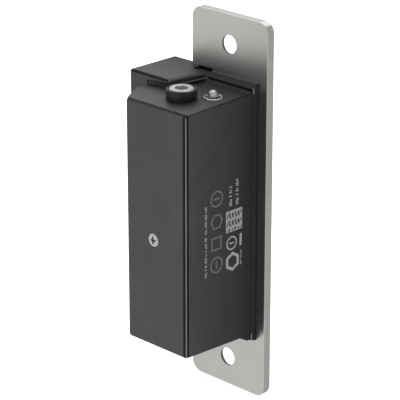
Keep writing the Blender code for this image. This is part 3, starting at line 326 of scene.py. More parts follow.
# Painted shade on the walls of the plate's holes and in the washers' dishes.
BORE_SHADE_STEEL = moulded("painted_shade_steel", (0.12, 0.12, 0.12), roughness=0.5, metallic=0.8)
# Painted shade on the walls of the hex socket.
SOCKET_SHADE_STEEL = moulded("painted_shade_socket", (0.5, 0.5, 0.5), roughness=0.45, metallic=0.6)
# Painted highlight on the plate's arrises.
ARRIS_HIGHLIGHT_STEEL = brushed_steel("painted_highlight_arris", ARRIS_HIGHLIGHT_TONE, 0.25, "Z", contrast=0.03, relief=0.02)

UPPER_SEAT = next(mount for mount in frame["record"]["mounts"] if mount["name"] == "plate_seat_upper")
FIXING_LEVEL = UPPER_SEAT["pos_m"][2] / MM
SLOTS = {entry["node"]: entry["material_slot"] for entry in frame["record"]["subparts"]}
BODY_OF = {node: body for body, nodes in frame["record"]["behaviour"]["bodies"].items() for node in nodes}


# ---------------------------------------------------------------- mesh helpers


def add_object(name, mesh_data, *finishes):
    """A new object in the scene, made from mesh_data, which is used up."""
    mesh = bpy.data.meshes.new(name)
    mesh_data.to_mesh(mesh)
    mesh_data.free()
    for finish in finishes:
        mesh.materials.append(finish)
    made = bpy.data.objects.new(name, mesh)
    bpy.context.scene.collection.objects.link(made)
    return made


def new_piece(name, mesh_data, node, *finishes):
    """A piece that stands for one CAD node, which it hides: it rides on the node's body, and by default
    takes the finish of the node's slot.
    """
    piece = add_object(name, mesh_data, *(finishes or (FINISHES[SLOTS[node]],)))
    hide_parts(node)
    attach(piece, BODY_OF[node])
    return piece


def shade(mesh_data):
    """Smooth shading, except across sharp edges."""
    for face in mesh_data.faces:
        face.smooth = True
    for edge in mesh_data.edges:
        edge.smooth = edge.calc_face_angle(0) < SHARP_ANGLE


def keep_flats_flat(piece):
    """Weights the shading by face area, so that broad faces stay flat beside their rounded arrises."""
    weighted = piece.modifiers.new("weighted_normals", "WEIGHTED_NORMAL")
    weighted.keep_sharp = True
    weighted.weight = 80


def solid_of(node):
    """The node's solid as a clean mesh: corners joined, and flat facets merged into whole faces."""
    source = NODES[node].data
    mesh_data = bmesh.new()
    for polygon in source.polygons:
        mesh_data.faces.new([mesh_data.verts.new(source.vertices[i].co) for i in polygon.vertices])
    bmesh.ops.remove_doubles(mesh_data, verts=mesh_data.verts, dist=JOIN_DISTANCE)
    bmesh.ops.dissolve_limit(
        mesh_data, angle_limit=FLAT_ANGLE, verts=mesh_data.verts, edges=mesh_data.edges
    )
    return mesh_data


def refined(name, node, arris, choose, finishes, divisions=()):
    """The node's solid with fine rounded arrises, which take the second finish.

    choose picks the finish of a face from its middle and area, in millimetres, and its normal. Before that,
    faces are divided at the planes in divisions: (direction, place) pairs.
    """
    mesh_data = solid_of(node)
    sharp = [edge for edge in mesh_data.edges if edge.calc_face_angle(0) > SHARP_ANGLE]
    arris_finish = min(1, len(finishes) - 1)
    bmesh.ops.bevel(
        mesh_data, geom=sharp, offset=arris * MM, segments=2, profile=0.5,
        affect="EDGES", clamp_overlap=True, material=arris_finish,
    )
    for direction, place in divisions:
        everything = mesh_data.verts[:] + mesh_data.edges[:] + mesh_data.faces[:]
        point = Vector(direction) * place * MM
        bmesh.ops.bisect_plane(mesh_data, geom=everything, plane_co=point, plane_no=direction)
    for face in mesh_data.faces:
        middle = face.calc_center_median() / MM
        picked = choose(middle, face.calc_area() / MM / MM, face.normal)
        if picked is not None:
            face.material_index = picked
    shade(mesh_data)
    keep_flats_flat(new_piece(name, mesh_data, node, *finishes))


def is_flat(normal):
    """Whether a face looks along an axis or nearly so: the draft and the slanted walls count as flat."""
    squarely = 0.972
    return max(abs(normal.x), abs(normal.y), abs(normal.z)) > squarely


def turn_of(normal):
    """How far a face round the upright rear edge has turned from the rear (0) to the printed side (90)."""
    return math.degrees(math.atan2(-normal.x, normal.y))


def shading_group():
    """A geometry-nodes group that joins a CAD node's facets and shades them smooth by angle."""
    group = bpy.data.node_groups.new("smooth_by_angle", "GeometryNodeTree")
    group.interface.new_socket("Geometry", in_out="INPUT", socket_type="NodeSocketGeometry")
    group.interface.new_socket("Geometry", in_out="OUTPUT", socket_type="NodeSocketGeometry")
    nodes, links = group.nodes, group.links
    start = nodes.new("NodeGroupInput")
    merge = nodes.new("GeometryNodeMergeByDistance")
    merge.inputs["Distance"].default_value = JOIN_DISTANCE
    smooth = nodes.new("GeometryNodeSetShadeSmooth")
    sharp = nodes.new("GeometryNodeSetShadeSmooth")
    sharp.domain = "EDGE"
    sharp.inputs["Shade Smooth"].default_value = False
    angle = nodes.new("GeometryNodeInputMeshEdgeAngle")
    beyond = nodes.new("FunctionNodeCompare")
    beyond.data_type = "FLOAT"
    beyond.operation = "GREATER_THAN"
    beyond.inputs[1].default_value = SHARP_ANGLE
    end = nodes.new("NodeGroupOutput")
    links.new(start.outputs[0], merge.inputs["Geometry"])
    links.new(merge.outputs[0], smooth.inputs["Geometry"])
    links.new(smooth.outputs[0], sharp.inputs["Geometry"])
    links.new(angle.outputs["Unsigned Angle"], beyond.inputs[0])
    links.new(beyond.outputs[0], sharp.inputs["Selection"])
    links.new(sharp.outputs[0], end.inputs[0])
    return group


def paint_nodes():
    """Gives every CAD node its finish, and smooth shading by a modifier."""
    group = shading_group()
    for node, slot in SLOTS.items():
        obj = NODES[node]
        obj.data.materials.clear()
        obj.data.materials.append(FINISHES[slot])
        obj.modifiers.new("smooth", "NODES").node_group = group


def ring_of(mesh_data, centre, axis, radius, height):
    """New corners of a circle round the axis through centre, or one corner where the radius is zero."""
    first, second = [i for i in range(3) if i != axis]
    corners = []
    for step in range(FINE if radius > 0 else 1):
        angle = 2 * math.pi * step / FINE
        point = Vector(centre)
        point[first] += radius * math.cos(angle)
        point[second] += radius * math.sin(angle)
        point[axis] = height
        corners.append(mesh_data.verts.new(point))
    return corners


def turned(profile, centre, axis=Z_AXIS):
    """A closed body turned from (radius, height) pairs, in metres, that start and end on the axis."""
    mesh_data = bmesh.new()
    rings = [ring_of(mesh_data, centre, axis, radius, height) for radius, height in profile]
    for low, high in zip(rings, rings[1:]):
        for step in range(FINE):
            after = (step + 1) % FINE
            around = [low[step % len(low)], low[after % len(low)]]
            around += [high[after % len(high)], high[step % len(high)]]
            mesh_data.faces.new(list(dict.fromkeys(around)))
    bmesh.ops.recalc_face_normals(mesh_data, faces=mesh_data.faces)
    return mesh_data


def turned_ring(profile, centre):
    """A closed ring turned about Z from (radius, height) pairs round a section that stays off the axis."""
    mesh_data = bmesh.new()
    rings = [ring_of(mesh_data, centre, Z_AXIS, radius, height) for radius, height in profile]
    for low, high in zip(rings, rings[1:] + rings[:1]):
        join_rings(mesh_data, low, high)
    bmesh.ops.recalc_face_normals(mesh_data, faces=mesh_data.faces)
    return mesh_data


def join_rings(mesh_data, low, high):
    """Four-sided faces between two rings of equally many corners."""
    for step in range(len(low)):
        after = (step + 1) % len(low)
        mesh_data.faces.new([low[step], low[after], high[after], high[step]])


def arc(centre, radius, start, end, steps):
    """Points of an arc from the angle start to the angle end, in degrees."""
    points = []
    for step in range(steps + 1):
        angle = math.radians(start + (end - start) * step / steps)
        points.append((centre[0] + radius * math.cos(angle), centre[1] + radius * math.sin(angle)))
    return points


def carve(piece, cutter_data):
    """Cuts a closed mesh out of a piece, for good."""
    cutter = add_object("cutter", cutter_data)
    modifier = piece.modifiers.new("carve", "BOOLEAN")
    modifier.object = cutter
    modifier.operation = "DIFFERENCE"
    bpy.context.view_layer.update()
    evaluated = piece.evaluated_get(bpy.context.evaluated_depsgraph_get())
    carved = bpy.data.meshes.new_from_object(evaluated)
    piece.modifiers.clear()
    piece.data = carved
    bpy.data.objects.remove(cutter)
    mesh_data = bmesh.new()
    mesh_data.from_mesh(carved)
    shade(mesh_data)
    mesh_data.to_mesh(carved)
    mesh_data.free()
    keep_flats_flat(piece)


def tapered_prism(outline, narrow, low, high, axis):
    """A closed prism from an outline at one end to the same outline, scaled by narrow, at the other."""
    mesh_data = bmesh.new()
    first, second = [i for i in range(3) if i != axis]
    middle = [sum(p[k] for p in outline) / len(outline) for k in (0, 1)]
    rings = []
    for level, scale in ((low, narrow), (high, 1.0)):
        ring = []
        for u, v in outline:
            point = Vector((0, 0, 0))
            point[first] = middle[0] + (u - middle[0]) * scale
            point[second] = middle[1] + (v - middle[1]) * scale
            point[axis] = level
            ring.append(mesh_data.verts.new(point))
        rings.append(ring)
    mesh_data.faces.new(rings[0])
    mesh_data.faces.new(rings[1])
    join_rings(mesh_data, *rings)
    bmesh.ops.recalc_face_normals(mesh_data, faces=mesh_data.faces)
    return mesh_data


# ---------------------------------------------------------------- outer pieces

# The choosers below pick a face's finish by its middle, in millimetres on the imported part. Heights count
# from the middle of the part, so abs(middle.z) stands for both ends. A test such as normal.y > 0.9 asks how
# squarely the face looks that way.


def make_faceplate():
    """The plate: a painted highlight on its arrises, and painted shade on the walls of its holes and in the
    cable notch.
    """
    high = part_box("faceplate")[1] / MM
    rim = 0.4
    hole = 3.1
    broad_face = 20.0
    notch_side, notch_front, notch_rear = 6.5, 1.0, 2.95
    notch_low, notch_high = 40.5, 43.3
    # Finishes: painted shade on the fixing holes' walls, and a black painted shade in the cable notch.
    bore, notch = 2, 3

    def choose(middle, area, normal):
        if area > broad_face or abs(middle.x) > high.x - rim or abs(middle.z) > high.z - rim:
            return None
        in_recess = notch_front < middle.y < notch_rear and middle.x > notch_side
        if in_recess and notch_low < middle.z < notch_high:
            return notch
        return bore if math.hypot(middle.x, abs(middle.z) - FIXING_LEVEL) < hole else None

    finishes = (FINISHES["stainless"], ARRIS_HIGHLIGHT_STEEL, BORE_SHADE_STEEL, EDGE_SHADE_COAT)
    refined("faceplate_sheet", "faceplate", 0.12, choose, finishes)


def make_frame():
    """The cast frame: painted shade on its edge rounds, in the groove and in the cable notch, a painted soft
    highlight on the edges over the casing and on the flange's crest, and a painted highlight at the flange's
    ends.
    """
    casing_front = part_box("rear_housing")[0].y / MM
    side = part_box("front_frame")[0].x / MM
    flange_rear = casing_front - 0.3
    strip = flange_rear - 0.4
    end_level = 39.7
    flange_low, flange_side = 37.0, 12.9
    notch_side, notch_rear = 6.9, 3.85
    crest_low, crest_rear = 42.5, 3.8
    slab_low, slab_side, slab_front = 41.4, 11.0, 5.0
    smallest_wall = 2.0
    coat, edge, soft, lit = range(4)

    def choose_on_flange(middle, normal):
        # Painted shade on faces that look to the rear in the groove, and in the cable notch.
        if normal.y > 0.9 or (middle.x > notch_side and middle.y < notch_rear):
            return edge
        # Painted highlight at the flange's ends.
        at_end = middle.x < side + 0.2 and abs(middle.z) > end_level
        if at_end and middle.y > strip:
            return lit
        # Painted soft highlight on the flange's crest by the plate.
        on_crest = middle.z > crest_low and middle.y < crest_rear and normal.z > 0.6
        return soft if on_crest else coat

    def choose(middle, area, normal):
        if middle.y < casing_front and middle.x < flange_side and abs(middle.z) > flange_low:
            return choose_on_flange(middle, normal)
        over_casing = middle.x < slab_side and abs(middle.z) > slab_low and middle.y > slab_front
        if over_casing and normal.x < -0.9:
            return coat
        # Over the casing, the slab's rounds get a painted soft highlight, or painted shade where they turn
        # up or down.
        if over_casing and normal.x < -0.3 and not is_flat(normal):
            return soft if abs(normal.z) < 0.8 else edge
        # Painted shade on rounds, bores and small walls.
        return coat if is_flat(normal) and area > smallest_wall else edge

    divisions = [((0, 0, 1), -end_level), ((0, 0, 1), end_level), ((0, 1, 0), strip)]
    finishes = (FRAME_COAT, EDGE_SHADE_COAT, SOFT_HIGHLIGHT, LIT_EDGE)
    refined("frame_casting", "front_frame", 0.12, choose, finishes, divisions)


def make_housing():
    """The deep casing: painted shade on its edge rounds and on the shoulder's wall under the frame's slab,
    and a painted highlight along the shoulder's crest.
    """
    low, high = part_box("rear_housing")
    side, rear = low.x / MM, high.y / MM
    crest = 40.85
    shoulder_low, shoulder_side, shoulder_rear = 39.9, 6.0, 20.0
    rim_rear = 10.0
    upright, band = side + 1.0, side + 1.2
    smallest_wall = 1.0
    coat, edge, lit = range(3)

    def choose(middle, area, normal):
        by_slab = middle.x > shoulder_side and middle.y < shoulder_rear
        # By the slab, the shoulder's wall gets painted shade and its crest a painted highlight.
        if by_slab and abs(middle.z) > shoulder_low and normal.x < -0.2:
            return lit if abs(middle.z) > crest else edge
        # Painted shade on the upright rear edge by the print.
        if middle.x < upright and middle.y > rear - 0.4:
            return edge
        if middle.y < rim_rear and abs(normal.z) > 0.3:
            return coat
        # Painted shade where the rounds by the print turn between side and top or bottom.
        if middle.x < band and abs(normal.z) > 0.2 and not is_flat(normal):
            return edge if 0.45 < abs(normal.z) < 0.9 else coat
        # Painted shade on rounds and small walls.
        return coat if is_flat(normal) and area > smallest_wall else edge

    divisions = [((0, 0, 1), -crest), ((0, 0, 1), crest)]
    finishes = (FINISHES["black_cast"], EDGE_SHADE_COAT, LIT_EDGE)
    refined("housing_shell", "rear_housing", 0.12, choose, finishes, divisions)


def make_cover():
    """The cover: painted shade on its upright edge by the print, with a painted highlight along one line of
    that round.
    """
    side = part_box("rear_cover")[0].x / MM
    band = side + 1.2
    broad_face = 60.0
    highlight_start, highlight_end = 45, 65
    coat, edge, lit = range(3)

    def choose(middle, area, normal):
        # Painted shade on the upright edge by the print, with a painted highlight on its facets turned 45 to
        # 65 degrees.
        if middle.x < band and abs(normal.z) < 0.3 and normal.y > -0.5:
            return lit if highlight_start < turn_of(normal) < highlight_end else edge
        above = normal.y > 0.75 and middle.z > 0
        below = normal.y > 0.9
        on_rear = abs(normal.x) < 0.1 and (above or below)
        # Painted shade on small faces and rounds.
        return coat if area > broad_face or on_rear else edge

    finishes = (FINISHES["black_cover"], EDGE_SHADE_COAT, LIT_EDGE)
    refined("cover_plate", "rear_cover", 0.06, choose, finishes, [((1, 0, 0), band)])


def make_keeper():
    """The keeper's casting, in one finish all over."""
    refined("keeper_jaw", "keeper", 0.15, lambda middle, area, normal: 0, (FINISHES["keeper_steel"],))


def make_outer_pieces():
    make_faceplate()
    make_frame()
    make_housing()
    make_cover()
    make_keeper()


def make_selector():
    """The black bush and the hex-socket screw in it, which share an axis."""
    low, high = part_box("selector_bush")
    centre = (low + high) / 2
    outer = (high.x - low.x) / 2
    head_low, head_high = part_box("selector_screw")
    head = (head_high.x - head_low.x) / 2
    floor = low.z + 1.0 * MM
    bore = 2.15 * MM
    play = 0.15 * MM
    pocket = head + 0.12 * MM
    make_selector_bush(centre, low.z, high.z, outer, pocket, floor, bore)
    make_selector_screw(centre, head_low.z, head_high.z, head, floor + play, bore - play)


def make_selector_bush(centre, bottom, top, outer, pocket, floor, bore):
    """The bush: a round rim outside, and a pocket for the screw's head with its floor over the bore."""
    edge = 0.45 * MM
    lip_round = 0.15 * MM
    foot = 0.12 * MM
    rim = arc((outer - edge, top - edge), edge, 0, 90, 12)
    lip = arc((pocket + lip_round, top - lip_round), lip_round, 90, 180, 4)
    profile = [(bore, bottom), (outer - foot, bottom), (outer, bottom + foot)] + rim + lip
    profile += [(pocket, floor), (bore, floor)]
    mesh_data = turned_ring(profile, centre)
    shade(mesh_data)
    new_piece("selector_bush_moulding", mesh_data, "selector_bush")


def make_selector_screw(centre, bottom, top, head, seat, shank):
    """The selector's screw: a flat along its lower end, and a hex socket whose walls take painted shade."""
    chamfer = 0.32 * MM
    point = 0.3 * MM
    profile = [
        (0, bottom),
        (shank - point, bottom),
        (shank, bottom + 0.4 * MM),
        (shank, seat),
        (head, seat),
        (head, top - chamfer),
        (head - chamfer, top),
        (0, top),
    ]
    node = "selector_screw"
    finishes = (FINISHES[SLOTS[node]], SOCKET_SHADE_STEEL)
    screw = new_piece("selector_screw_head", turned(profile, centre), node, *finishes)
    across_flats = 4.0 * MM
    socket_depth = 2.2 * MM
    over = 1.0 * MM
    corner_radius = across_flats / math.sqrt(3)
    hexagon = arc(centre, corner_radius, 0, 300, 5)
    carve(screw, tapered_prism(hexagon, 1.0, top - socket_depth, top + over, Z_AXIS))
    front, rear = centre.y + 1.0 * MM, centre.y + 4.0 * MM
    left, right = -3.0 * MM, 5.0 * MM
    flat_top = 37.0 * MM
    flat = [(left, front), (right, front), (right, rear), (left, rear)]
    carve(screw, tapered_prism(flat, 1.0, bottom - over, flat_top, Z_AXIS))
    # Painted shade: the hex socket's walls take the darker second finish.
    within = corner_radius * 1.02
    for face in screw.data.polygons:
        from_axis = math.hypot(face.center.x - centre.x, face.center.y - centre.y)
        if from_axis < within and top - socket_depth * 1.05 < face.center.z < top - 0.05 * MM:
            face.material_index = 1


def make_monitor_rod():
    """The rod with its round ends, and a dished washer with a rolled rim at each end."""
    low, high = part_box("monitor_rod")
    centre = (low + high) / 2
    dome = (high.x - low.x) / 2
    rod = 1.1 * MM
    shoulder = 0.55 * MM
    play = 0.08 * MM
    base = high.z - dome - shoulder
    top = [(rod, base), (dome, base)] + arc((0, base + shoulder), dome, 0, 90, 16)
    top[-1] = (0, high.z)
    bottom = [(radius, 2 * centre.z - height) for radius, height in reversed(top)]
    mesh_data = turned(bottom + top, centre)
    shade(mesh_data)
    new_piece("monitor_rod_turned", mesh_data, "monitor_rod")
    for name, side in (("upper", 1), ("lower", -1)):
        make_cup_washer(name, side, rod + play)


def make_cup_washer(name, side, bore):
    """A dished sheet washer with a rolled rim. side is +1 where its rim stands up, and -1 where it hangs."""
    node = f"cup_washer_{name}"
    low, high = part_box(node)
    centre = (low + high) / 2
    outer = (high.x - low.x) / 2
    height = high.z - low.z
    sheet = 0.3 * MM
    roll = 0.34 * MM
    foot = (outer - 0.3 * MM, 0.0)
    wall = (outer - 0.05 * MM, 0.15 * MM)
    dish = outer - 2 * roll
    rim = arc((outer - roll, height - roll), roll, 0, 180, 8)
    section = [(bore, 0.0), foot, wall] + rim + [(dish - 0.25 * MM, sheet), (bore, sheet)]
    start = low.z if side > 0 else high.z
    mesh_data = turned_ring([(radius, start + side * rise) for radius, rise in section], centre)
    # Painted shade on the dish inside the rolled rim.
    for face in mesh_data.faces:
        middle = face.calc_center_median()
        face.material_index = int(math.hypot(middle.x - centre.x, middle.y - centre.y) < dish)
    shade(mesh_data)
    new_piece(f"{node}_dished", mesh_data, node, FINISHES[SLOTS[node]], BORE_SHADE_STEEL)


def make_sunk_screw(node, face_side, head, shank, recess):
    """A countersunk screw along Y with a cross recess; face_side is +1 where its head faces +Y."""
    low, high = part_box(node)
    centre = (low + high) / 2
    face, end = (high.y, low.y) if face_side > 0 else (low.y, high.y)
    length = abs(end - face)
    inward = -face_side
    rim = 0.15 * MM
    crown = 0.05 * MM
    cone = (head - shank) * 0.9
    point = 0.35 * MM
    section = [
        (0, 0),
        (head * 0.7, crown * 0.3),
        (head - rim, crown),
        (head, rim),
        (head, 2 * rim),
        (shank, cone + rim),
        (shank, length - point),
        (shank - point, length),
        (0, length),
    ]
    mesh_data = turned([(radius, face + inward * down) for radius, down in section], centre, Y_AXIS)
    screw = new_piece(f"{node}_turned", mesh_data, node)
    wing, web = recess / 2, recess * 0.14
    depth = recess * 0.5
    for across, up in ((wing, web), (web, wing)):
        corners = ((-1, -1), (1, -1), (1, 1), (-1, 1))
        outline = [(centre.x + across * u, centre.z + up * v) for u, v in corners]
        carve(screw, cross_wing(outline, face, inward, depth))


def make_screws():
    """The cover's screw, which faces the rear, and the two faceplate screws, which face the front."""
    make_sunk_screw("rear_cover_screw", 1, head=2.15 * MM, shank=1.2 * MM, recess=2.6 * MM)
    for end in ("upper", "lower"):
        make_sunk_screw(f"faceplate_screw_{end}", -1, head=2.8 * MM, shank=1.5 * MM, recess=3.2 * MM)


def cross_wing(outline, face, inward, depth):
    """One wing of a cross recess: narrow at the bottom, and open beyond the head's face."""
    deep = face + inward * depth
    open_end = face - inward * 0.2 * MM
    narrow = 0.45
    return tapered_prism(outline, narrow, deep, open_end, Y_AXIS)


def make_return_spring():
    """The plunger's spring: the node's solid, smooth shaded, with a mesh of its own."""
    node = "return_spring"
    mesh_data = solid_of(node)
    shade(mesh_data)
    spring = new_piece("return_spring_coil", mesh_data, node)
    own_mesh(spring)


# ---------------------------------------------------------------- generic print


def flat_side(node, direction):
    """A point and the outward normal of the node's flat side that faces a direction."""
    mesh = NODES[node].data
    reach = max(vertex.co.dot(direction) for vertex in mesh.vertices)
    draft = 1.0 * MM
    smallest = 2 * MM * MM
    normal, point, total = Vector(), Vector(), 0.0
    for polygon in mesh.polygons:
        outermost = polygon.center.dot(direction) > reach - draft
        if outermost and polygon.normal.dot(direction) > 0.99 and polygon.area > smallest:
            normal += polygon.normal * polygon.area
            point += polygon.center * polygon.area
            total += polygon.area
    return point / total, normal.normalized()


def side_point(plane, y, z, lift):
    """The point at depth y and height z, in millimetres, lifted off the plane."""
    point, normal = plane
    x = point.x - (normal.y * (y * MM - point.y) + normal.z * (z * MM - point.z)) / normal.x
    return Vector((x, y * MM, z * MM)) + normal * lift * MM


def print_marks(name, patches, finish):
    """Thin ink on the casing's side: each patch is a list of (y, z) corners."""
    plane = flat_side("rear_housing", Vector((-1, 0, 0)))
    ink_low, ink_high = 0.005, 0.03
    mesh_data = bmesh.new()
    for patch in patches:
        rings = []
        for lift in (ink_low, ink_high):
            rings.append([mesh_data.verts.new(side_point(plane, y, z, lift)) for y, z in patch])
        mesh_data.faces.new(rings[0])
        mesh_data.faces.new(rings[1])
        join_rings(mesh_data, *rings)
    bmesh.ops.recalc_face_normals(mesh_data, faces=mesh_data.faces)
    piece = add_object(name, mesh_data, finish)
    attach(piece, "strike_body")


def block(y, z, width, height):
    """A rectangle of the given size across y and z, about its centre."""
    front, rear = y - width / 2, y + width / 2
    bottom, top = z - height / 2, z + height / 2
    return [(front, bottom), (rear, bottom), (rear, top), (front, top)]


def outline_shape(centre, radius, sides, thick, turn=0.0):
    """A regular polygon drawn as a line: one patch for each side."""
    outer = arc(centre, radius, turn, turn + 360, sides)
    inner = arc(centre, radius - thick / math.cos(math.pi / sides), turn, turn + 360, sides)
    return [[outer[i], outer[i + 1], inner[i + 1], inner[i]] for i in range(sides)]


def tick_line(y, low, high, size):
    """A line of small strokes in groups, which stands for a line of small print."""
    patches = []
    stroke, gap, space = size * 0.26, size * 0.24, size * 0.5
    foot_offset, foot_width = size * 0.34, size * 0.2
    shortest = 0.62
    z = low
    count = 0
    while z + stroke < high:
        count += 1
        ends_group = count % 5 == 0 or count % 11 == 7
        if ends_group:
            z += space
            continue
        share = shortest + (1 - shortest) * abs(math.sin(2.4 * count))
        patches.append(block(y - size * (1 - share) / 2, z + stroke / 2, size * share, stroke))
        if count % 3 != 1:
            patches.append(block(y + foot_offset * (-1) ** count, z + stroke, foot_width, stroke * 1.6))
        z += stroke + gap
    return patches


def cell_patch(low, high, count):
    """A square area of small cells, printed in an uneven pattern that carries no code."""
    pitch = (high[0] - low[0]) / count
    cell = pitch * 0.97
    patches = []
    for row in range(count):
        for column in range(count):
            at_border = row in (0, count - 1) or column in (0, count - 1)
            mixed = (row * row * 5 + column * column * 3 + row * column) % 7
            if at_border or mixed in (0, 1, 4, 6):
                centre = (low[0] + (row + 0.5) * pitch, low[1] + (column + 0.5) * pitch)
                patches.append(block(*centre, cell, cell))
    return patches


def ink(name, tone, cover):
    """Pad-printed ink that lets some of the black coat through. cover is its share where it is thick."""
    made, tree, shader = new_material(name)
    worn = noise(tree, scale=2800.0)
    thin_tone = tuple(c * 0.75 for c in tone)
    colour = ramp(tree, worn, "Fac", thin_tone, tone, start=0.35, end=0.6)
    link(tree, colour, "Color", shader, "Base Color")
    alpha = ramp(tree, worn, "Fac", cover * 0.8, cover, start=0.3, end=0.6)
    link(tree, alpha, "Color", shader, "Alpha")
    shader.inputs["Roughness"].default_value = 0.5
    return made


def make_print():
    """The side's print, as generic marks. Depths (y) and heights (z) are in millimetres on the side."""
    strong = ink("light_ink", (0.40, 0.40, 0.41), cover=1.0)
    soft = ink("faint_ink", (0.17, 0.17, 0.18), cover=0.9)
    small_lines = tick_line(y=25.2, low=-14.6, high=9.6, size=0.95)
    small_lines += tick_line(y=14.65, low=6.1, high=13.0, size=1.2)
    small_lines += tick_line(y=11.85, low=6.0, high=15.2, size=1.2)
    small_lines += tick_line(y=10.1, low=-14.4, high=-9.35, size=0.7)
    print_marks("print_small_lines", small_lines, strong)
    print_marks("print_cells", cell_patch(low=(9.6, -2.4), high=(16.6, 4.6), count=19), strong)
    print_marks("print_symbols", symbol_row(y=20.6, size=2.7, thick=0.55), soft)
    emblem = outline_shape((13.7, -12.4), 3.2, 6, thick=0.95, turn=30)
    emblem.append(block(10.2, -6.0, width=0.9, height=4.0))
    icon_centre = (14.1, -6.2)
    icon = outline_shape(icon_centre, 2.3, 24, thick=0.5)
    icon.append(block(*icon_centre, width=2.0, height=0.5))
    print_marks("print_emblem", emblem + icon, strong)


def symbol_row(y, size, thick):
    """Four plain outlines in a row: a barred circle, a square, a hexagon and another barred circle."""
    lowest, square, hexagon, highest = -11.6, -4.6, 2.6, 10.0
    bar_long, bar_thick = 2.6, 0.6
    row = outline_shape((y, lowest), size, 32, thick)
    row += outline_shape((y, square), size * 1.15, 4, thick, turn=45)
    row += outline_shape((y, hexagon), size, 6, thick)
    row += outline_shape((y, highest), size, 32, thick)
    row.append(block(y, highest, bar_long, bar_thick))
    row.append(block(y, lowest, bar_thick, bar_long))
    return row


# ---------------------------------------------------------------- stage


# The camera's direction in degrees, its distance and its shift to the right and up in metres, and its lens
# and sensor in millimetres.
CAMERA_AZIMUTH = 224.52
CAMERA_ELEVATION = 20.97
CAMERA_DISTANCE = 0.6413
CAMERA_RIGHT = -0.01102
CAMERA_UP = 0.0008
CAMERA_LENS = 183.4
SENSOR = 36.0

# The studio dome's light: where the cover's face looks, where the printed side looks, round the camera, and
# in all other directions. Each lobe starts at LOBE_EDGE, the cosine of its half-width.
SKY_REAR = 1.08
SKY_PRINT_SIDE = 0.71
SKY_CAMERA_SIDE = 0.95
SKY_FRONT = 0.6
LOBE_EDGE = 0.1


def aim(azimuth, elevation):
    """The unit vector towards a direction in degrees; azimuth 0 is in front of the faceplate."""
    a, e = math.radians(azimuth), math.radians(elevation)
    return Vector((math.sin(a) * math.cos(e), -math.cos(a) * math.cos(e), math.sin(e)))


def make_camera():
    """The camera: behind and above the part, on its printed side, shifted so that the part fits in view."""
    data = bpy.data.cameras.new("camera")
    data.lens = CAMERA_LENS
    data.sensor_width = SENSOR
    data.clip_start = 0.01
    camera = bpy.data.objects.new("camera", data)
    bpy.context.scene.collection.objects.link(camera)
    back = aim(CAMERA_AZIMUTH, CAMERA_ELEVATION)
    turn = (-back).to_track_quat("-Z", "Y")
    right = turn @ Vector((1, 0, 0))
    up = turn @ Vector((0, 1, 0))
    camera.location = back * CAMERA_DISTANCE + right * CAMERA_RIGHT + up * CAMERA_UP
    camera.rotation_mode = "QUATERNION"
    camera.rotation_quaternion = turn
    bpy.context.scene.camera = camera


def make_key_light():
    """A broad light from the front and above, on the keeper's side."""
    azimuth, elevation, distance = 30, 60, 0.7
    size, power = 0.9, 3.8
    data = bpy.data.lights.new("key", "AREA")
    data.size = size
    data.energy = power
    light = bpy.data.objects.new("key", data)
    bpy.context.scene.collection.objects.link(light)
    back = aim(azimuth, elevation)
    light.location = back * distance
    light.rotation_mode = "QUATERNION"
    light.rotation_quaternion = (-back).to_track_quat("-Z", "Y")


def sky_lobe(tree, place, direction, strength):
    """A smooth patch of light in one direction of the dome."""
    facing = tree.nodes.new("ShaderNodeVectorMath")
    facing.operation = "DOT_PRODUCT"
    facing.inputs[1].default_value = direction
    link(tree, place, "Generated", facing, 0)
    lobe = tree.nodes.new("ShaderNodeMapRange")
    lobe.interpolation_type = "SMOOTHSTEP"
    lobe.inputs["From Min"].default_value = LOBE_EDGE
    lobe.inputs["From Max"].default_value = 1.0
    lobe.inputs["To Max"].default_value = strength
    link(tree, facing, "Value", lobe, "Value")
    return lobe


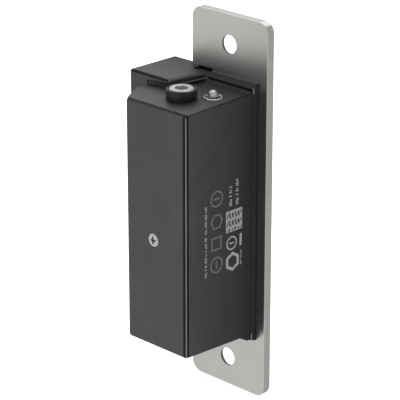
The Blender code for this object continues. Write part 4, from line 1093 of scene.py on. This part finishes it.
def make_world():
    """A soft studio dome with a few broad lights, white where the camera sees it."""
    world = bpy.data.worlds.new("studio")
    bpy.context.scene.world = world
    world.use_nodes = True
    tree = world.node_tree
    background = tree.nodes["Background"]
    place = tree.nodes.new("ShaderNodeTexCoord")
    rear = aim(CAMERA_AZIMUTH - 90, -CAMERA_ELEVATION)
    side = aim(CAMERA_AZIMUTH + 90, -CAMERA_ELEVATION)
    camera = aim(CAMERA_AZIMUTH, -CAMERA_ELEVATION)
    level = None
    lights = ((rear, SKY_REAR), (side, SKY_PRINT_SIDE), (camera, SKY_CAMERA_SIDE))
    for direction, strength in lights:
        lobe = sky_lobe(tree, place, direction, strength - SKY_FRONT)
        total = tree.nodes.new("ShaderNodeMath")
        total.operation = "ADD"
        total.inputs[1].default_value = SKY_FRONT
        link(tree, lobe, "Result", total, 0)
        if level:
            link(tree, level, "Value", total, 1)
        level = total
    seen = tree.nodes.new("ShaderNodeLightPath")
    pick = tree.nodes.new("ShaderNodeMix")
    link(tree, seen, "Is Camera Ray", pick, "Factor")
    link(tree, level, "Value", pick, MIX_NUMBER_A)
    pick.inputs[MIX_NUMBER_B].default_value = 1.0
    link(tree, pick, MIX_NUMBER_RESULT, background, "Strength")
    background.inputs["Color"].default_value = (1, 1, 1, 1)


def make_floor():
    """A plain pale floor just under the part. It is seen by the camera, and adds no reflection."""
    half = 3.0
    level = CAD_BOX[0].z - 0.5 * MM
    mesh_data = bmesh.new()
    corners = [(-half, -half), (half, -half), (half, half), (-half, half)]
    mesh_data.faces.new([mesh_data.verts.new((x, y, level)) for x, y in corners])
    made, _, shader = new_material("pale_floor")
    shader.inputs["Base Color"].default_value = (0.85, 0.85, 0.85, 1)
    shader.inputs["Roughness"].default_value = 0.9
    shader.inputs["Specular IOR Level"].default_value = 0.0
    shader.inputs["Emission Color"].default_value = (1, 1, 1, 1)
    shader.inputs["Emission Strength"].default_value = 0.72
    floor = add_object("floor", mesh_data, made)
    floor.visible_glossy = False
    floor.visible_diffuse = False


paint_nodes()
make_outer_pieces()
make_selector()
make_monitor_rod()
make_screws()
make_return_spring()
make_print()
make_world()
make_floor()
make_camera()
make_key_light()
bpy.context.scene.view_settings.view_transform = "Standard"
